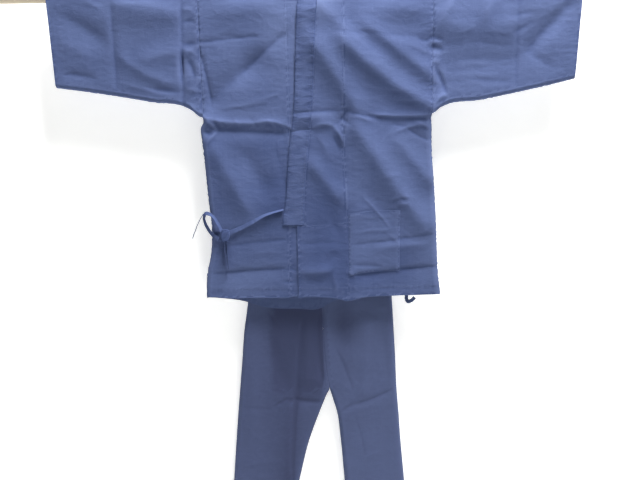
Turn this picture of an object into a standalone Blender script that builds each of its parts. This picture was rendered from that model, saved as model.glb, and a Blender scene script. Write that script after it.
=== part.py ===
"""A samue: a cotton work jacket over its trousers, hung on a plain round rod.

The rod's middle is the origin. The front faces -Y, the wearer's left is at +X, and the ankles are lowest.
Each sewn piece is a cloth wall, laid over the rod and hung straight down, with its largest folds raised.
"""
import math

import bmesh
import bpy
import numpy as np
from mathutils import Matrix

# Cloth and seams
CLOTH = 0.0020
BAND = 0.0028
TAPE = 0.0012
SEAM_GAP = 0.0003
TAPE_WIDTH = 0.011

# Rod, and how the jacket falls from it
ROD_RADIUS = 0.014
ROD_LENGTH = 1.68
FALL_RADIUS = ROD_RADIUS + SEAM_GAP + CLOTH / 2
QUARTER = FALL_RADIUS * math.pi / 2
HEM_HALF_DEPTH = 0.0125
JACKET_DROP = 0.79
OVERLAP_LIFT = 0.0031
OVERLAP_FLAT = 0.096
OVERLAP_END = 0.150
SIDE_TURN = 0.012

# Armholes and sleeves
ARMHOLE_X = {"left": 0.298, "right": -0.292}
UNDERARM_START = -0.3065
UNDERARM_END = -0.3165
CUFF_TOP = {"left": 0.6735, "right": -0.6710}
CUFF_LEAN = {"left": -0.0094, "right": 0.0060}
SLEEVE_TURN = 0.011

# Pocket on the wearer's left front
POCKET_LEFT = 0.0815
POCKET_RIGHT = 0.2185
POCKET_TOP = -0.5545
POCKET_BOTTOM = -0.7220
POCKET_CLOTH = 0.0016
POCKET_GAP = 0.0007

# Trousers
WAIST_TOP = -0.716
WAISTBAND_HEIGHT = 0.040
CROTCH = -1.0660
TROUSER_FRONT = 0.0202
TROUSER_BACK = 0.0452
LEG_TURN = 0.0125
INSEAM_START = -1.0620
INSEAM_END = -1.0920
BACK_FOLD_SHARE = 0.8
WAIST_FREE_START = 0.80
WAIST_FREE_END = 0.86

# Hooks that carry the trousers from the rod
HOOK_X = 0.165
HOOK_WIDTH = 0.018
HOOK_THICKNESS = 0.0015
HOOK_LIP = -0.002
HOOK_RADIUS = FALL_RADIUS + CLOTH / 2 + SEAM_GAP + HOOK_THICKNESS / 2
JAW_LENGTH = 0.030

# Depths below the rod at which the front, the back and the legs are measured, closer together at the folds
FRONT_DEPTHS = (0.0, 0.03, 0.065, 0.095, 0.125, 0.16, 0.20, 0.24, 0.275, 0.3065, 0.3165, 0.335, 0.36, 0.39,
                0.44, 0.49, 0.5545, 0.5876, 0.5890, 0.612, 0.637, 0.662, 0.70, 0.722, 0.745, 0.79)
BACK_DEPTHS = (0.0, 0.06, 0.10, 0.14, 0.21, 0.27, 0.3065, 0.3165, 0.345, 0.40, 0.48, 0.55, 0.62, 0.70, 0.79)
LEG_DEPTHS = (0.7565, 0.81, 0.86, 0.91, 0.96, 1.02, 1.062, 1.078, 1.092, 1.115, 1.14, 1.18,
              1.24, 1.31, 1.38, 1.415, 1.45, 1.54, 1.646)
NECK_TURN_DEPTH = 0.050

# Angles round the rod from its top, towards the front and towards the back
FRONT_ANGLES = (-90.0, -72.0, -54.0, -36.0, -18.0)
BACK_ANGLES = (0.0, 18.0, 36.0, 52.0, 64.0, 72.0, 76.0, 90.0)
SLEEVE_BACK_ANGLES = (0.0, 18.0, 36.0, 54.0, 72.0, 90.0)
NECK_BACK_ANGLE = 76.0

# Points across a body panel: its flat part, and how many of them the pocket covers
FLAT_POINTS = 9
POCKET_POINTS = slice(1, 5)

# Outlines of the jacket: one row for each height, x of each edge there
OUTLINE_COLUMNS = ("z", "left_side", "right_side", "okumi_seam", "band_seam", "band_edge")
OUTLINE_ROWS = (
    (-0.790, 0.331, -0.3055, 0.0787, -0.0540, -0.0540),
    (-0.728, 0.323, -0.3012, 0.0786, -0.0540, -0.0540),
    (-0.668, 0.3195, -0.2880, 0.0782, -0.0545, -0.0545),
    (-0.602, 0.316, -0.2830, 0.0772, -0.0385, -0.0905),
    (-0.520, 0.311, -0.2885, 0.0752, -0.0345, -0.0830),
    (-0.390, 0.301, -0.2957, 0.0700, -0.0225, -0.0715),
    (-0.331, 0.300, -0.3005, 0.0690, -0.0150, -0.0625),
    (-0.289, 0.300, -0.2990, 0.0695, -0.0100, -0.0575),
    (-0.165, 0.298, -0.2920, 0.0708, -0.0027, -0.0509),
    (-0.020, 0.298, -0.2920, 0.0708, 0.0072, -0.0426),
    (0.030, 0.298, -0.2920, 0.0708, 0.0120, -0.0380),
)
BAND_BOTTOM = -0.587
BAND_TOP = -0.020
OKUMI_STEP = -0.588
HEM_SHAPE_DEPTH = 0.60
FREE_EDGE = -0.0550
INNER_HEM = -0.7840

HEM_COLUMNS = ("x", "front", "back")
HEM_ROWS = (
    (-0.310, -0.7830, -0.7880),
    (-0.210, -0.7865, -0.8015),
    (-0.150, -0.7870, -0.8200),
    (-0.060, -0.7865, -0.8260),
    (0.000, -0.7860, -0.8270),
    (0.040, -0.7890, -0.8060),
    (0.076, -0.7980, -0.7960),
    (0.115, -0.7905, -0.7900),
    (0.200, -0.7865, -0.7880),
    (0.332, -0.7850, -0.7860),
)

# Undersides of the sleeves: z of the lower fold at each distance from the middle
SLEEVE_COLUMNS = ("reach", "left", "right")
SLEEVE_ROWS = (
    (0.290, -0.3050, -0.3050),
    (0.300, -0.3030, -0.3020),
    (0.322, -0.2880, -0.2850),
    (0.430, -0.2690, -0.2615),
    (0.583, -0.2388, -0.2352),
    (0.680, -0.2170, -0.2215),
)

# The neck end of the band, from the front over the shoulder to the centre back: its sewn and its free edge
NECK_COLUMNS = ("x_seam", "y_seam", "z_seam", "x_free", "y_free", "z_free")
NECK_ROWS = (
    (0.0100, -0.0188, -0.0040, -0.0390, -0.0188, 0.0060),
    (0.0150, -0.0188, 0.0050, -0.0300, -0.0190, 0.0270),
    (0.0270, -0.0185, 0.0105, -0.0070, -0.0190, 0.0460),
    (0.0440, -0.0165, 0.0142, 0.0230, -0.0180, 0.0590),
    (0.0640, -0.0105, 0.0165, 0.0540, -0.0150, 0.0645),
    (0.0830, -0.0010, 0.0174, 0.0800, -0.0050, 0.0660),
    (0.0860, 0.0080, 0.0160, 0.0860, 0.0080, 0.0655),
    (0.0740, 0.0155, 0.0090, 0.0740, 0.0160, 0.0635),
    (0.0450, 0.0180, 0.0030, 0.0450, 0.0195, 0.0605),
    (0.0000, 0.0183, 0.0000, 0.0000, 0.0205, 0.0590),
)
NECK_FRONT_ROWS = 4

# The top of an overlap panel, where it runs into the neck: height along the cloth at both its edges
OKUMI_TOP_COLUMNS = ("x_edge", "rise_edge", "x_seam", "rise_seam")
OKUMI_TOP_ROWS = (
    (0.0079, -0.0200, 0.0707, -0.0200),
    (0.0112, -0.0055, 0.0707, 0.0000),
    (0.0165, 0.0035, 0.0707, 0.0050),
    (0.0285, 0.0080, 0.0707, 0.0100),
    (0.0450, 0.0105, 0.0707, 0.0145),
    (0.0600, 0.0125, 0.0707, 0.0185),
)

# The neckline of the body panels: x of the edge at an angle round the rod from the top
NECKLINE_COLUMNS = ("angle", "x")
NECKLINE_ROWS = (
    (-90.0, 0.0711),
    (-54.0, 0.0711),
    (-36.0, 0.0712),
    (-18.0, 0.0730),
    (0.0, 0.0840),
    (18.0, 0.0850),
    (36.0, 0.0790),
    (52.0, 0.0660),
    (64.0, 0.0440),
    (72.0, 0.0100),
    (76.0, 0.00015),
)

# The outer edges of the trouser legs, the centre seam and, below the crotch, the inner edges
LEG_COLUMNS = ("z", "left_outer", "left_inner", "right_inner", "right_outer")
LEG_ROWS = (
    (-1.646, 0.2640, 0.0950, -0.1320, -0.2850),
    (-1.350, 0.2405, 0.0660, -0.0650, -0.2580),
    (-1.224, 0.2290, 0.0560, -0.0335, -0.2460),
    (-1.140, 0.2230, 0.0460, -0.0030, -0.2375),
    (-1.094, 0.2190, 0.0330, 0.0150, -0.2325),
    (-1.066, 0.2170, 0.0262, 0.0262, -0.2295),
    (-0.980, 0.2130, 0.0141, 0.0141, -0.2200),
    (-0.900, 0.2085, 0.0098, 0.0098, -0.2120),
    (-0.810, 0.2030, 0.0100, 0.0100, -0.1980),
    (-0.716, 0.1960, 0.0100, 0.0100, -0.1900),
)

# Ties: the outer one as x, z and how far it stands off the front; the others as points in the open
OUTER_TIE_COLUMNS = ("x", "z", "lift")
OUTER_TIE_ROWS = (
    (-0.0900, -0.5437, 0.0016),
    (-0.1150, -0.5500, 0.0040),
    (-0.1400, -0.5590, 0.0045),
    (-0.1680, -0.5745, 0.0030),
    (-0.1950, -0.5885, 0.0020),
    (-0.2336, -0.6046, 0.0073),
)
SIDE_TIE_ROWS = ((-0.2760, -0.6080, 0.0006), (-0.2700, -0.6085, 0.0006), (-0.2602, -0.6098, 0.0060))
LOOP_ROWS = (
    (-0.2564, -0.0245, -0.6006),
    (-0.2680, -0.0260, -0.5800),
    (-0.2800, -0.0265, -0.5620),
    (-0.2900, -0.0260, -0.5540),
    (-0.2990, -0.0250, -0.5620),
    (-0.2975, -0.0240, -0.5830),
    (-0.2850, -0.0230, -0.6030),
    (-0.2660, -0.0225, -0.6195),
)
SIDE_END_ROWS = (
    (-0.3014, -0.0250, -0.5527),
    (-0.3120, -0.0250, -0.5700),
    (-0.3230, -0.0250, -0.5930),
    (-0.3330, -0.0250, -0.6180),
)
SHORT_END_ROWS = ((-0.2490, -0.0225, -0.6277), (-0.2495, -0.0225, -0.6500), (-0.2480, -0.0225, -0.6720))
LONG_END_ROWS = ((-0.2420, -0.0225, -0.6268), (-0.2430, -0.0225, -0.6650), (-0.2410, -0.0225, -0.7040))
INNER_LEFT_ROWS = (
    (0.3105, 0.0, -0.5885),
    (0.2950, 0.0, -0.6120),
    (0.2680, 0.0, -0.6900),
    (0.2460, 0.0, -0.7550),
    (0.2400, 0.0, -0.7880),
    (0.2410, -0.0010, -0.8040),
    (0.2480, -0.0020, -0.8090),
    (0.2620, -0.0020, -0.7960),
)
INNER_RIGHT_ROWS = ((0.0850, -0.0112, -0.5650), (0.0855, -0.0085, -0.6300), (0.0840, -0.0075, -0.7600))
KNOT_CENTRE = (-0.2460, -0.0240, -0.6120)
KNOT_HALF_SIZE = (0.0135, 0.0068, 0.0160)
KNOT_TILT = 0.35
TOWARDS_VIEWER = (0.0, -1.0, 0.0)
SIDE_END_FACING = (-0.85, 0.0, -0.5)
SHORT_END_FACING = (1.0, -0.25, 0.0)
LONG_END_FACING = (1.0, 0.35, 0.0)
INNER_TIE_WIDTH = 0.009

# Folds: a ridge has a height above zero, a trough below; each runs from (x0, z0) to (x1, z1)
FOLD_COLUMNS = ("x0", "z0", "x1", "z1", "height", "width")
FRONT_FOLDS = (
    (-0.290, -0.304, -0.055, -0.322, 0.0050, 0.022),
    (-0.250, -0.345, -0.085, -0.352, -0.0022, 0.022),
    (-0.045, -0.312, 0.060, -0.335, 0.0035, 0.022),
    (0.090, -0.305, 0.290, -0.312, 0.0040, 0.020),
    (0.080, -0.080, 0.280, -0.262, 0.0050, 0.022),
    (0.095, -0.160, 0.150, -0.285, -0.0018, 0.020),
    (-0.290, -0.118, -0.075, -0.092, 0.0032, 0.018),
    (0.110, -0.094, 0.300, -0.104, 0.0030, 0.018),
    (-0.260, -0.385, -0.200, -0.560, 0.0030, 0.024),
    (-0.210, -0.640, -0.060, -0.626, 0.0028, 0.018),
    (-0.290, -0.718, -0.060, -0.702, 0.0030, 0.016),
    (0.090, -0.648, 0.300, -0.624, 0.0028, 0.018),
    (0.060, -0.730, 0.320, -0.714, 0.0028, 0.016),
    (-0.508, -0.010, -0.508, -0.225, 0.0032, 0.020),
    (0.512, -0.010, 0.512, -0.245, 0.0032, 0.020),
    (-0.336, -0.030, -0.340, -0.250, 0.0028, 0.018),
)
BACK_FOLDS = (
    (-0.260, -0.320, -0.060, -0.300, -0.0040, 0.022),
    (0.060, -0.310, 0.270, -0.322, -0.0040, 0.022),
    (-0.250, -0.110, -0.100, -0.098, -0.0028, 0.020),
    (0.100, -0.104, 0.260, -0.114, -0.0028, 0.020),
    (-0.260, -0.560, -0.060, -0.545, -0.0026, 0.022),
    (0.070, -0.550, 0.270, -0.566, -0.0026, 0.022),
    (-0.508, -0.010, -0.508, -0.225, 0.0030, 0.020),
    (0.512, -0.010, 0.512, -0.245, 0.0030, 0.020),
)
TROUSER_FOLDS = (
    (-0.150, -0.840, -0.060, -1.060, -0.0040, 0.045),
    (-0.048, -0.900, -0.066, -1.300, 0.0045, 0.018),
    (0.050, -0.960, 0.135, -1.300, 0.0050, 0.022),
    (-0.225, -1.118, -0.070, -1.112, 0.0038, 0.018),
    (0.060, -1.120, 0.212, -1.075, 0.0038, 0.018),
    (-0.270, -1.420, -0.090, -1.412, 0.0036, 0.018),
    (0.080, -1.410, 0.240, -1.400, 0.0036, 0.018),
)

COLOURS = {
    "jacket": (0.075, 0.105, 0.245),
    "band": (0.080, 0.110, 0.255),
    "trousers": (0.045, 0.055, 0.120),
    "tie": (0.085, 0.110, 0.245),
    "wood": (0.560, 0.450, 0.290),
    "steel": (0.560, 0.570, 0.580),
}


def column(columns, rows, name, position):
    """Smooth value of a named column at a position in the first column, which rises from row to row."""
    data = np.array(rows, dtype=float)
    key, value = data[:, 0], data[:, columns.index(name)]
    slope = np.gradient(value, key)
    position = np.clip(np.asarray(position, dtype=float), key[0], key[-1])
    index = np.clip(np.searchsorted(key, position) - 1, 0, len(key) - 2)
    step = key[index + 1] - key[index]
    t = (position - key[index]) / step
    start = (2 * t**3 - 3 * t**2 + 1) * value[index] + (t**3 - 2 * t**2 + t) * step * slope[index]
    end = (3 * t**2 - 2 * t**3) * value[index + 1] + (t**3 - t**2) * step * slope[index + 1]
    return start + end


def picked(columns, rows, names):
    """The named columns of a table."""
    return np.array(rows, dtype=float)[:, [columns.index(name) for name in names]]


def ease(value, start, end):
    """0 before start, 1 after end, with a smooth rise between them."""
    t = np.clip((value - start) / (end - start), 0.0, 1.0)
    return t * t * (3 - 2 * t)


def relief(x, z, folds):
    """Height of all folds at (x, z): a round ridge about each line that fades at both ends."""
    total = np.zeros(np.broadcast(x, z).shape)
    for row in folds:
        fold = dict(zip(FOLD_COLUMNS, row))
        run = np.array([fold["x1"] - fold["x0"], fold["z1"] - fold["z0"]])
        length = np.hypot(*run)
        along = ((x - fold["x0"]) * run[0] + (z - fold["z0"]) * run[1]) / length
        across = ((x - fold["x0"]) * run[1] - (z - fold["z0"]) * run[0]) / length
        fade = ease(along, -0.02, 0.03) * (1 - ease(along, length - 0.03, length + 0.02))
        total = total + fold["height"] * fade * np.exp(-((across / fold["width"]) ** 2))
    return total


def hang_depth(z):
    """Half the depth of the jacket at a height below the rod: the rod's own, closing a little to the hem."""
    return FALL_RADIUS + (HEM_HALF_DEPTH - FALL_RADIUS) * ease(-z, 0.0, JACKET_DROP)


def standing(x):
    """0 at the middle of the front, where cloth above the rod's middle stands up; 1 where it wraps the rod."""
    return ease(np.abs(x), 0.036, 0.068)


def overlap_lift(x, rise):
    """How far the upper front lies above the lower one: full at the middle, none at the side or the shoulder."""
    fade = ease(rise, 0.004, 0.020) * standing(x)
    return OVERLAP_LIFT * (1 - ease(x, OVERLAP_FLAT, OVERLAP_END)) * (1 - fade)


def over_rod(x, rise, lift, face):
    """A point of cloth hung over the rod.

    rise is the height along the cloth: z below the rod's middle, and arc length round the rod above it.
    face is -1 on the front and +1 on the back. Creases fade out towards the rod.
    """
    x, rise = np.broadcast_arrays(np.asarray(x, dtype=float), np.asarray(rise, dtype=float))
    folds = FRONT_FOLDS if face < 0 else BACK_FOLDS
    height = relief(x, rise, folds) * ease(-rise, 0.0, 0.02)
    above = np.clip(rise, 0.0, QUARTER)
    wrap = standing(x) if face < 0 else 1.0
    depth = hang_depth(np.minimum(rise, 0.0)) + lift + height
    y = face * depth * np.cos(above / FALL_RADIUS * wrap)
    z_wrapped = (FALL_RADIUS + lift) * np.sin(above / FALL_RADIUS)
    z = np.where(rise > 0, z_wrapped * wrap + above * (1 - wrap), rise)
    return np.stack([x, y, z], axis=-1)


def material(name, roughness=0.85, metallic=0.0):
    """A plain surface in one of the object's colours."""
    if name in bpy.data.materials:
        return bpy.data.materials[name]
    made = bpy.data.materials.new(name)
    made.use_nodes = True
    shader = made.node_tree.nodes["Principled BSDF"]
    shader.inputs["Base Color"].default_value = (*COLOURS[name], 1.0)
    shader.inputs["Roughness"].default_value = roughness
    shader.inputs["Metallic"].default_value = metallic
    made.diffuse_color = (*COLOURS[name], 1.0)
    return made


def add_solid(name, vertices, faces, surface):
    """One named object from points and faces, turned so that its faces point out."""
    points = np.asarray(vertices, dtype=float)
    volume = 0.0
    for face in faces:
        first = points[face[0]]
        for second, third in zip(face[1:-1], face[2:]):
            volume += np.dot(first, np.cross(points[second], points[third]))
    if volume < 0:
        faces = [tuple(reversed(face)) for face in faces]
    mesh = bpy.data.meshes.new(name)
    mesh.from_pydata(points.tolist(), [], faces)
    mesh.materials.append(surface)
    mesh.shade_smooth()
    mesh.set_sharp_from_angle(angle=math.radians(50))
    piece = bpy.data.objects.new(name, mesh)
    bpy.context.scene.collection.objects.link(piece)
    return piece


def add_wall(name, outer, inner, surface):
    """A cloth wall between two grids of points, closed all round its edge."""
    rows, cols = outer.shape[:2]
    count = rows * cols
    number = np.arange(count).reshape(rows, cols)
    faces = []
    for i in range(rows - 1):
        for j in range(cols - 1):
            quad = (number[i, j], number[i, j + 1], number[i + 1, j + 1], number[i + 1, j])
            faces.append(tuple(int(n) for n in quad))
            faces.append(tuple(int(n) + count for n in reversed(quad)))
    rim = np.concatenate([number[0, :], number[1:, -1], number[-1, -2::-1], number[-2:0:-1, 0]])
    for a, b in zip(rim, np.roll(rim, -1)):
        faces.append((int(b), int(a), int(a) + count, int(b) + count))
    vertices = np.concatenate([outer.reshape(-1, 3), inner.reshape(-1, 3)])
    return add_solid(name, vertices, faces, surface)


def add_strip(name, first_edge, second_edge, thickness, surface, columns=2):
    """A flat strip between two edge lines, as thick as given, square to its own face."""
    first, second = np.asarray(first_edge), np.asarray(second_edge)
    share = np.linspace(0.0, 1.0, columns)[None, :, None]
    middle = first[:, None, :] * (1 - share) + second[:, None, :] * share
    along = np.gradient((first + second) / 2, axis=0)
    normal = np.cross(along, second - first)
    normal /= np.linalg.norm(normal, axis=1, keepdims=True)
    offset = normal[:, None, :] * thickness / 2
    return add_wall(name, middle + offset, middle - offset, surface)


def smooth_line(points, steps):
    """A smooth line through a few points, with a number of steps between each two."""
    points = np.asarray(points, dtype=float)
    extended = np.concatenate([2 * points[:1] - points[1:2], points, 2 * points[-1:] - points[-2:-1]])
    line = []
    for i in range(1, len(extended) - 2):
        before, start, end, after = extended[i - 1:i + 3]
        for t in np.arange(steps) / steps:
            bend = 2 * start - 2 * end + (end - before) / 2 + (after - start) / 2
            turn = 3 * end - 3 * start - (end - before) - (after - start) / 2
            line.append(bend * t**3 + turn * t**2 + (end - before) / 2 * t + start)
    line.append(points[-1])
    return np.array(line)


def side_turned(z):
    """How far the side edge is folded in to the side seam: not at all beside the armhole, fully below it."""
    return float(ease(-z, -UNDERARM_START, -UNDERARM_END))


def side_x(side, z):
    """x of the side edge: the armhole above the underarm, the garment's outline below it."""
    outline = column(OUTLINE_COLUMNS, OUTLINE_ROWS, side + "_side", z)
    blend = ease(-z, -UNDERARM_END, -UNDERARM_END + 0.020)
    return ARMHOLE_X[side] * (1 - blend) + outline * blend


def body_rows():
    """Rows of a body panel, up the front, over the rod and down the back: (face, depth, angle)."""
    rows = [(-1, depth, None) for depth in FRONT_DEPTHS[:0:-1]]
    rows += [(-1, 0.0, angle) for angle in FRONT_ANGLES]
    rows += [(1, 0.0, angle) for angle in BACK_ANGLES]
    rows += [(1, depth, None) for depth in BACK_DEPTHS[1:]]
    return rows


def rise_at(angle):
    """Height along the cloth at an angle round the rod."""
    return QUARTER - FALL_RADIUS * math.radians(abs(angle))


def inner_edge(face, depth, angle):
    """x of a body panel's edge at the neck, the overlap seam or the centre back."""
    if angle is not None:
        return max(column(NECKLINE_COLUMNS, NECKLINE_ROWS, "x", min(angle, NECK_BACK_ANGLE)), SEAM_GAP / 2)
    if face > 0:
        return SEAM_GAP / 2
    return column(OUTLINE_COLUMNS, OUTLINE_ROWS, "okumi_seam", -depth) + SEAM_GAP


def body_surface(side, lift):
    """Grid of a body panel: front, shoulder and back in one, its side edges folded in to the side seam."""
    sign = 1.0 if side == "left" else -1.0
    flat = np.linspace(0.0, 1.0, FLAT_POINTS)
    turn = np.linspace(0.0, 1.0, 4)[1:]
    grid = []
    for face, depth, angle in body_rows():
        inner = sign * inner_edge(face, depth, angle)
        edge = side_x(side, -depth)
        start = edge - sign * SIDE_TURN
        x = np.concatenate([inner + (start - inner) * flat, start + (edge - start) * turn])
        if angle is None:
            hem = column(HEM_COLUMNS, HEM_ROWS, "front" if face < 0 else "back", x)
            rise = hem * depth / JACKET_DROP
        else:
            rise = np.full(x.shape, rise_at(angle))
        upper = side == "left" and face < 0
        layer = lift + overlap_lift(x, rise) if upper else lift
        points = over_rod(x, rise, layer, face)
        turned = side_turned(-depth)
        if turned > 0:
            arc = turn * math.pi / 2
            tail = points[FLAT_POINTS:]
            folded_x = start + sign * (SIDE_TURN + lift) * np.sin(arc)
            folded_y = face * SEAM_GAP / 2 + (tail[:, 1] - face * SEAM_GAP / 2) * np.cos(arc)
            tail[:, 0] = tail[:, 0] * (1 - turned) + folded_x * turned
            tail[:, 1] = tail[:, 1] * (1 - turned) + folded_y * turned
        grid.append(points)
    return np.array(grid)


def make_body(side):
    """One body panel, cut in one piece from the front hem over the shoulder to the back hem."""
    outer, inner = (body_surface(side, lift) for lift in (CLOTH / 2, -CLOTH / 2))
    add_wall("body_" + side, outer, inner, material("jacket"))


def okumi_rows():
    """Edges of an overlap panel, from the hem to the neck: x and height of its free edge and of its seam."""
    rows = []
    for depth in FRONT_DEPTHS[::-1]:
        if depth < NECK_TURN_DEPTH:
            break
        seam = column(OUTLINE_COLUMNS, OUTLINE_ROWS, "okumi_seam", -depth)
        edge = column(OUTLINE_COLUMNS, OUTLINE_ROWS, "band_seam", -depth) + SEAM_GAP
        edge = FREE_EDGE if -depth < OKUMI_STEP else edge
        rows.append({"x_edge": edge, "rise_edge": -depth, "x_seam": seam, "rise_seam": -depth})
    return rows + [dict(zip(OKUMI_TOP_COLUMNS, row)) for row in OKUMI_TOP_ROWS]


def make_okumi(side):
    """One overlap panel: the left one lies on top, the right one below it."""
    sign = 1.0 if side == "left" else -1.0
    share = np.linspace(0.0, 1.0, 6)
    sheets = []
    for half in (CLOTH / 2, -CLOTH / 2):
        grid = []
        for row in okumi_rows():
            x = sign * (row["x_edge"] + (row["x_seam"] - row["x_edge"]) * share)
            rise = row["rise_edge"] + (row["rise_seam"] - row["rise_edge"]) * share
            hem = column(HEM_COLUMNS, HEM_ROWS, "front", x) if side == "left" else INNER_HEM
            rise = rise + (hem + JACKET_DROP) * ease(-rise, HEM_SHAPE_DEPTH, JACKET_DROP)
            lift = overlap_lift(np.abs(x), rise) if side == "left" else 0.0
            grid.append(over_rod(x, rise, lift + half, -1))
        sheets.append(np.array(grid))
    add_wall("okumi_" + side, sheets[0], sheets[1], material("jacket"))


def band_front(side):
    """Edge lines of the band down one front, from its lower end to just below the rod."""
    sign = 1.0 if side == "left" else -1.0
    base = OVERLAP_LIFT if side == "left" else 0.0
    inner_heights = [-depth for depth in FRONT_DEPTHS[::-1] if NECK_TURN_DEPTH < depth < -BAND_BOTTOM]
    heights = np.array([BAND_BOTTOM, *inner_heights, BAND_TOP])
    seam_x = sign * column(OUTLINE_COLUMNS, OUTLINE_ROWS, "band_seam", heights)
    free_x = sign * column(OUTLINE_COLUMNS, OUTLINE_ROWS, "band_edge", heights)
    lift = base + (BAND - CLOTH) / 2
    return over_rod(seam_x, heights, lift, -1), over_rod(free_x, heights, lift, -1)


def band_neck(side):
    """Edge lines of the band round one side of the neck, from the front to the centre back."""
    sign = 1.0 if side == "left" else -1.0
    seam = picked(NECK_COLUMNS, NECK_ROWS, ("x_seam", "y_seam", "z_seam")) * (sign, 1, 1)
    free = picked(NECK_COLUMNS, NECK_ROWS, ("x_free", "y_free", "z_free")) * (sign, 1, 1)
    if side == "right":
        front = 1 - ease(np.arange(len(NECK_ROWS)), NECK_FRONT_ROWS - 1, NECK_FRONT_ROWS + 1)
        seam[:, 1] += OVERLAP_LIFT * front
        free[:, 1] += OVERLAP_LIFT * front
    return seam, free


def make_band():
    """The collar band: one strip up the upper front, round the neck and down the lower front."""
    seam_up, free_up = band_front("left")
    seam_left, free_left = band_neck("left")
    seam_right, free_right = band_neck("right")
    seam_down, free_down = band_front("right")
    seam = np.concatenate([seam_up, seam_left, seam_right[-2::-1], seam_down[::-1]])
    free = np.concatenate([free_up, free_left, free_right[-2::-1], free_down[::-1]])
    add_strip("collar_band", seam, free, BAND, material("band"), columns=3)


def sleeve_surface(side, lift):
    """Grid of a sleeve: up from the underarm seam, over the rod and down again, from armhole to cuff."""
    sign = 1.0 if side == "left" else -1.0
    across = np.linspace(0.0, 1.0, 10)
    turns = np.radians((90.0, 60.0, 30.0))
    shares = np.linspace(1.0, 0.0, 8)
    rows = [(-1, "turn", turn) for turn in turns]
    rows += [(-1, "fall", share) for share in shares[:-1]]
    rows += [(-1, "rod", angle) for angle in FRONT_ANGLES]
    rows += [(1, "rod", angle) for angle in SLEEVE_BACK_ANGLES]
    rows += [(1, "fall", share) for share in shares[-2::-1]]
    rows += [(1, "turn", turn) for turn in turns[::-1]]
    start = ARMHOLE_X[side] + sign * SEAM_GAP
    grid = []
    for face, kind, value in rows:
        share = {"turn": 1.0, "fall": value, "rod": 0.0}[kind]
        cuff = CUFF_TOP[side] + CUFF_LEAN[side] * share
        x = start + (cuff - start) * across
        under = column(SLEEVE_COLUMNS, SLEEVE_ROWS, side, np.abs(x)) + SLEEVE_TURN + CLOTH / 2
        rise = np.full(x.shape, rise_at(value)) if kind == "rod" else under * share
        points = over_rod(x, rise, lift, face)
        if kind == "turn":
            points[:, 1] = face * SEAM_GAP / 2 + (points[:, 1] - face * SEAM_GAP / 2) * math.cos(value)
            points[:, 2] = under - (SLEEVE_TURN + lift) * math.sin(value)
        grid.append(points)
    return np.array(grid)


def make_sleeve(side):
    """One sleeve, folded over the rod, with its seam along the underside and open at both ends."""
    outer, inner = (sleeve_surface(side, lift) for lift in (CLOTH / 2, -CLOTH / 2))
    add_wall("sleeve_" + side, outer, inner, material("jacket"))


def make_pocket():
    """The patch pocket: the front panel's own points, moved out, with an edge point at each end of a row."""
    rows = [row for row, (face, depth, _) in zip(body_surface("left", CLOTH / 2), body_rows())
            if face < 0 and POCKET_BOTTOM - SEAM_GAP < -depth < POCKET_TOP + SEAM_GAP]
    grid = []
    for row in rows:
        flat = row[:FLAT_POINTS]
        ends = [(x, np.interp(x, flat[:, 0], flat[:, 1]), np.interp(x, flat[:, 0], flat[:, 2]))
                for x in (POCKET_LEFT, POCKET_RIGHT)]
        grid.append(np.concatenate([ends[:1], row[POCKET_POINTS], ends[1:]]))
    near = np.array(grid) - (0.0, POCKET_GAP, 0.0)
    add_wall("pocket", near - (0.0, POCKET_CLOTH, 0.0), near, material("jacket"))


def leg_surface(side, lift):
    """Grid of a trouser leg, round from the centre front by the outer fold to the centre back.

    Above the crotch its two edges lie flat against the other leg's; below it they fold in to the inseam.
    """
    sign = 1.0 if side == "left" else -1.0
    middle = (TROUSER_FRONT + TROUSER_BACK) / 2
    half = (TROUSER_BACK - TROUSER_FRONT) / 2 + lift
    flat = np.linspace(0.0, 1.0, FLAT_POINTS)
    inner_arc = np.radians((90.0, 45.0))
    outer_arc = np.radians((45.0, 90.0))
    grid = []
    for depth in LEG_DEPTHS:
        z = -depth
        folded = float(ease(depth, -INSEAM_START, -INSEAM_END))
        inner_name = side + "_inner" if z < CROTCH else "left_inner"
        inner_x = column(LEG_COLUMNS, LEG_ROWS, inner_name, z) + sign * (SEAM_GAP + CLOTH * folded) / 2
        outer_x = column(LEG_COLUMNS, LEG_ROWS, side + "_outer", z) - sign * LEG_TURN
        start = inner_x + sign * LEG_TURN
        x_turn = start - sign * (LEG_TURN + lift) * np.sin(inner_arc)
        y_turn = SEAM_GAP / 2 + (half - SEAM_GAP / 2) * np.cos(inner_arc)
        x_edge = inner_x + (start - inner_x) * np.array((0.0, 0.5))
        x_in = x_edge * (1 - folded) + x_turn * folded
        y_in = half * (1 - folded) + y_turn * folded
        x_out = outer_x + sign * (LEG_TURN + lift) * np.sin(outer_arc)
        front_x = np.concatenate([x_in, start + (outer_x - start) * flat, x_out])
        reach = np.concatenate([y_in, np.full(FLAT_POINTS, half), half * np.cos(outer_arc)])
        free = ease(depth, WAIST_FREE_START, WAIST_FREE_END)
        raised = relief(front_x, z, TROUSER_FOLDS) * np.clip(reach / half, 0.0, 1.0) * free
        front = np.stack([front_x, middle - reach - raised, np.full(front_x.shape, z)], axis=-1)
        back = front[-2::-1].copy()
        back[:, 1] = middle + reach[-2::-1] + raised[-2::-1] * BACK_FOLD_SHARE
        grid.append(np.concatenate([front, back]))
    return np.array(grid)


def make_leg(side):
    """One trouser leg in a single piece, with an inseam and half of the centre seams."""
    outer, inner = (leg_surface(side, lift) for lift in (CLOTH / 2, -CLOTH / 2))
    add_wall("leg_" + side, outer, inner, material("trousers"))


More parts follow.
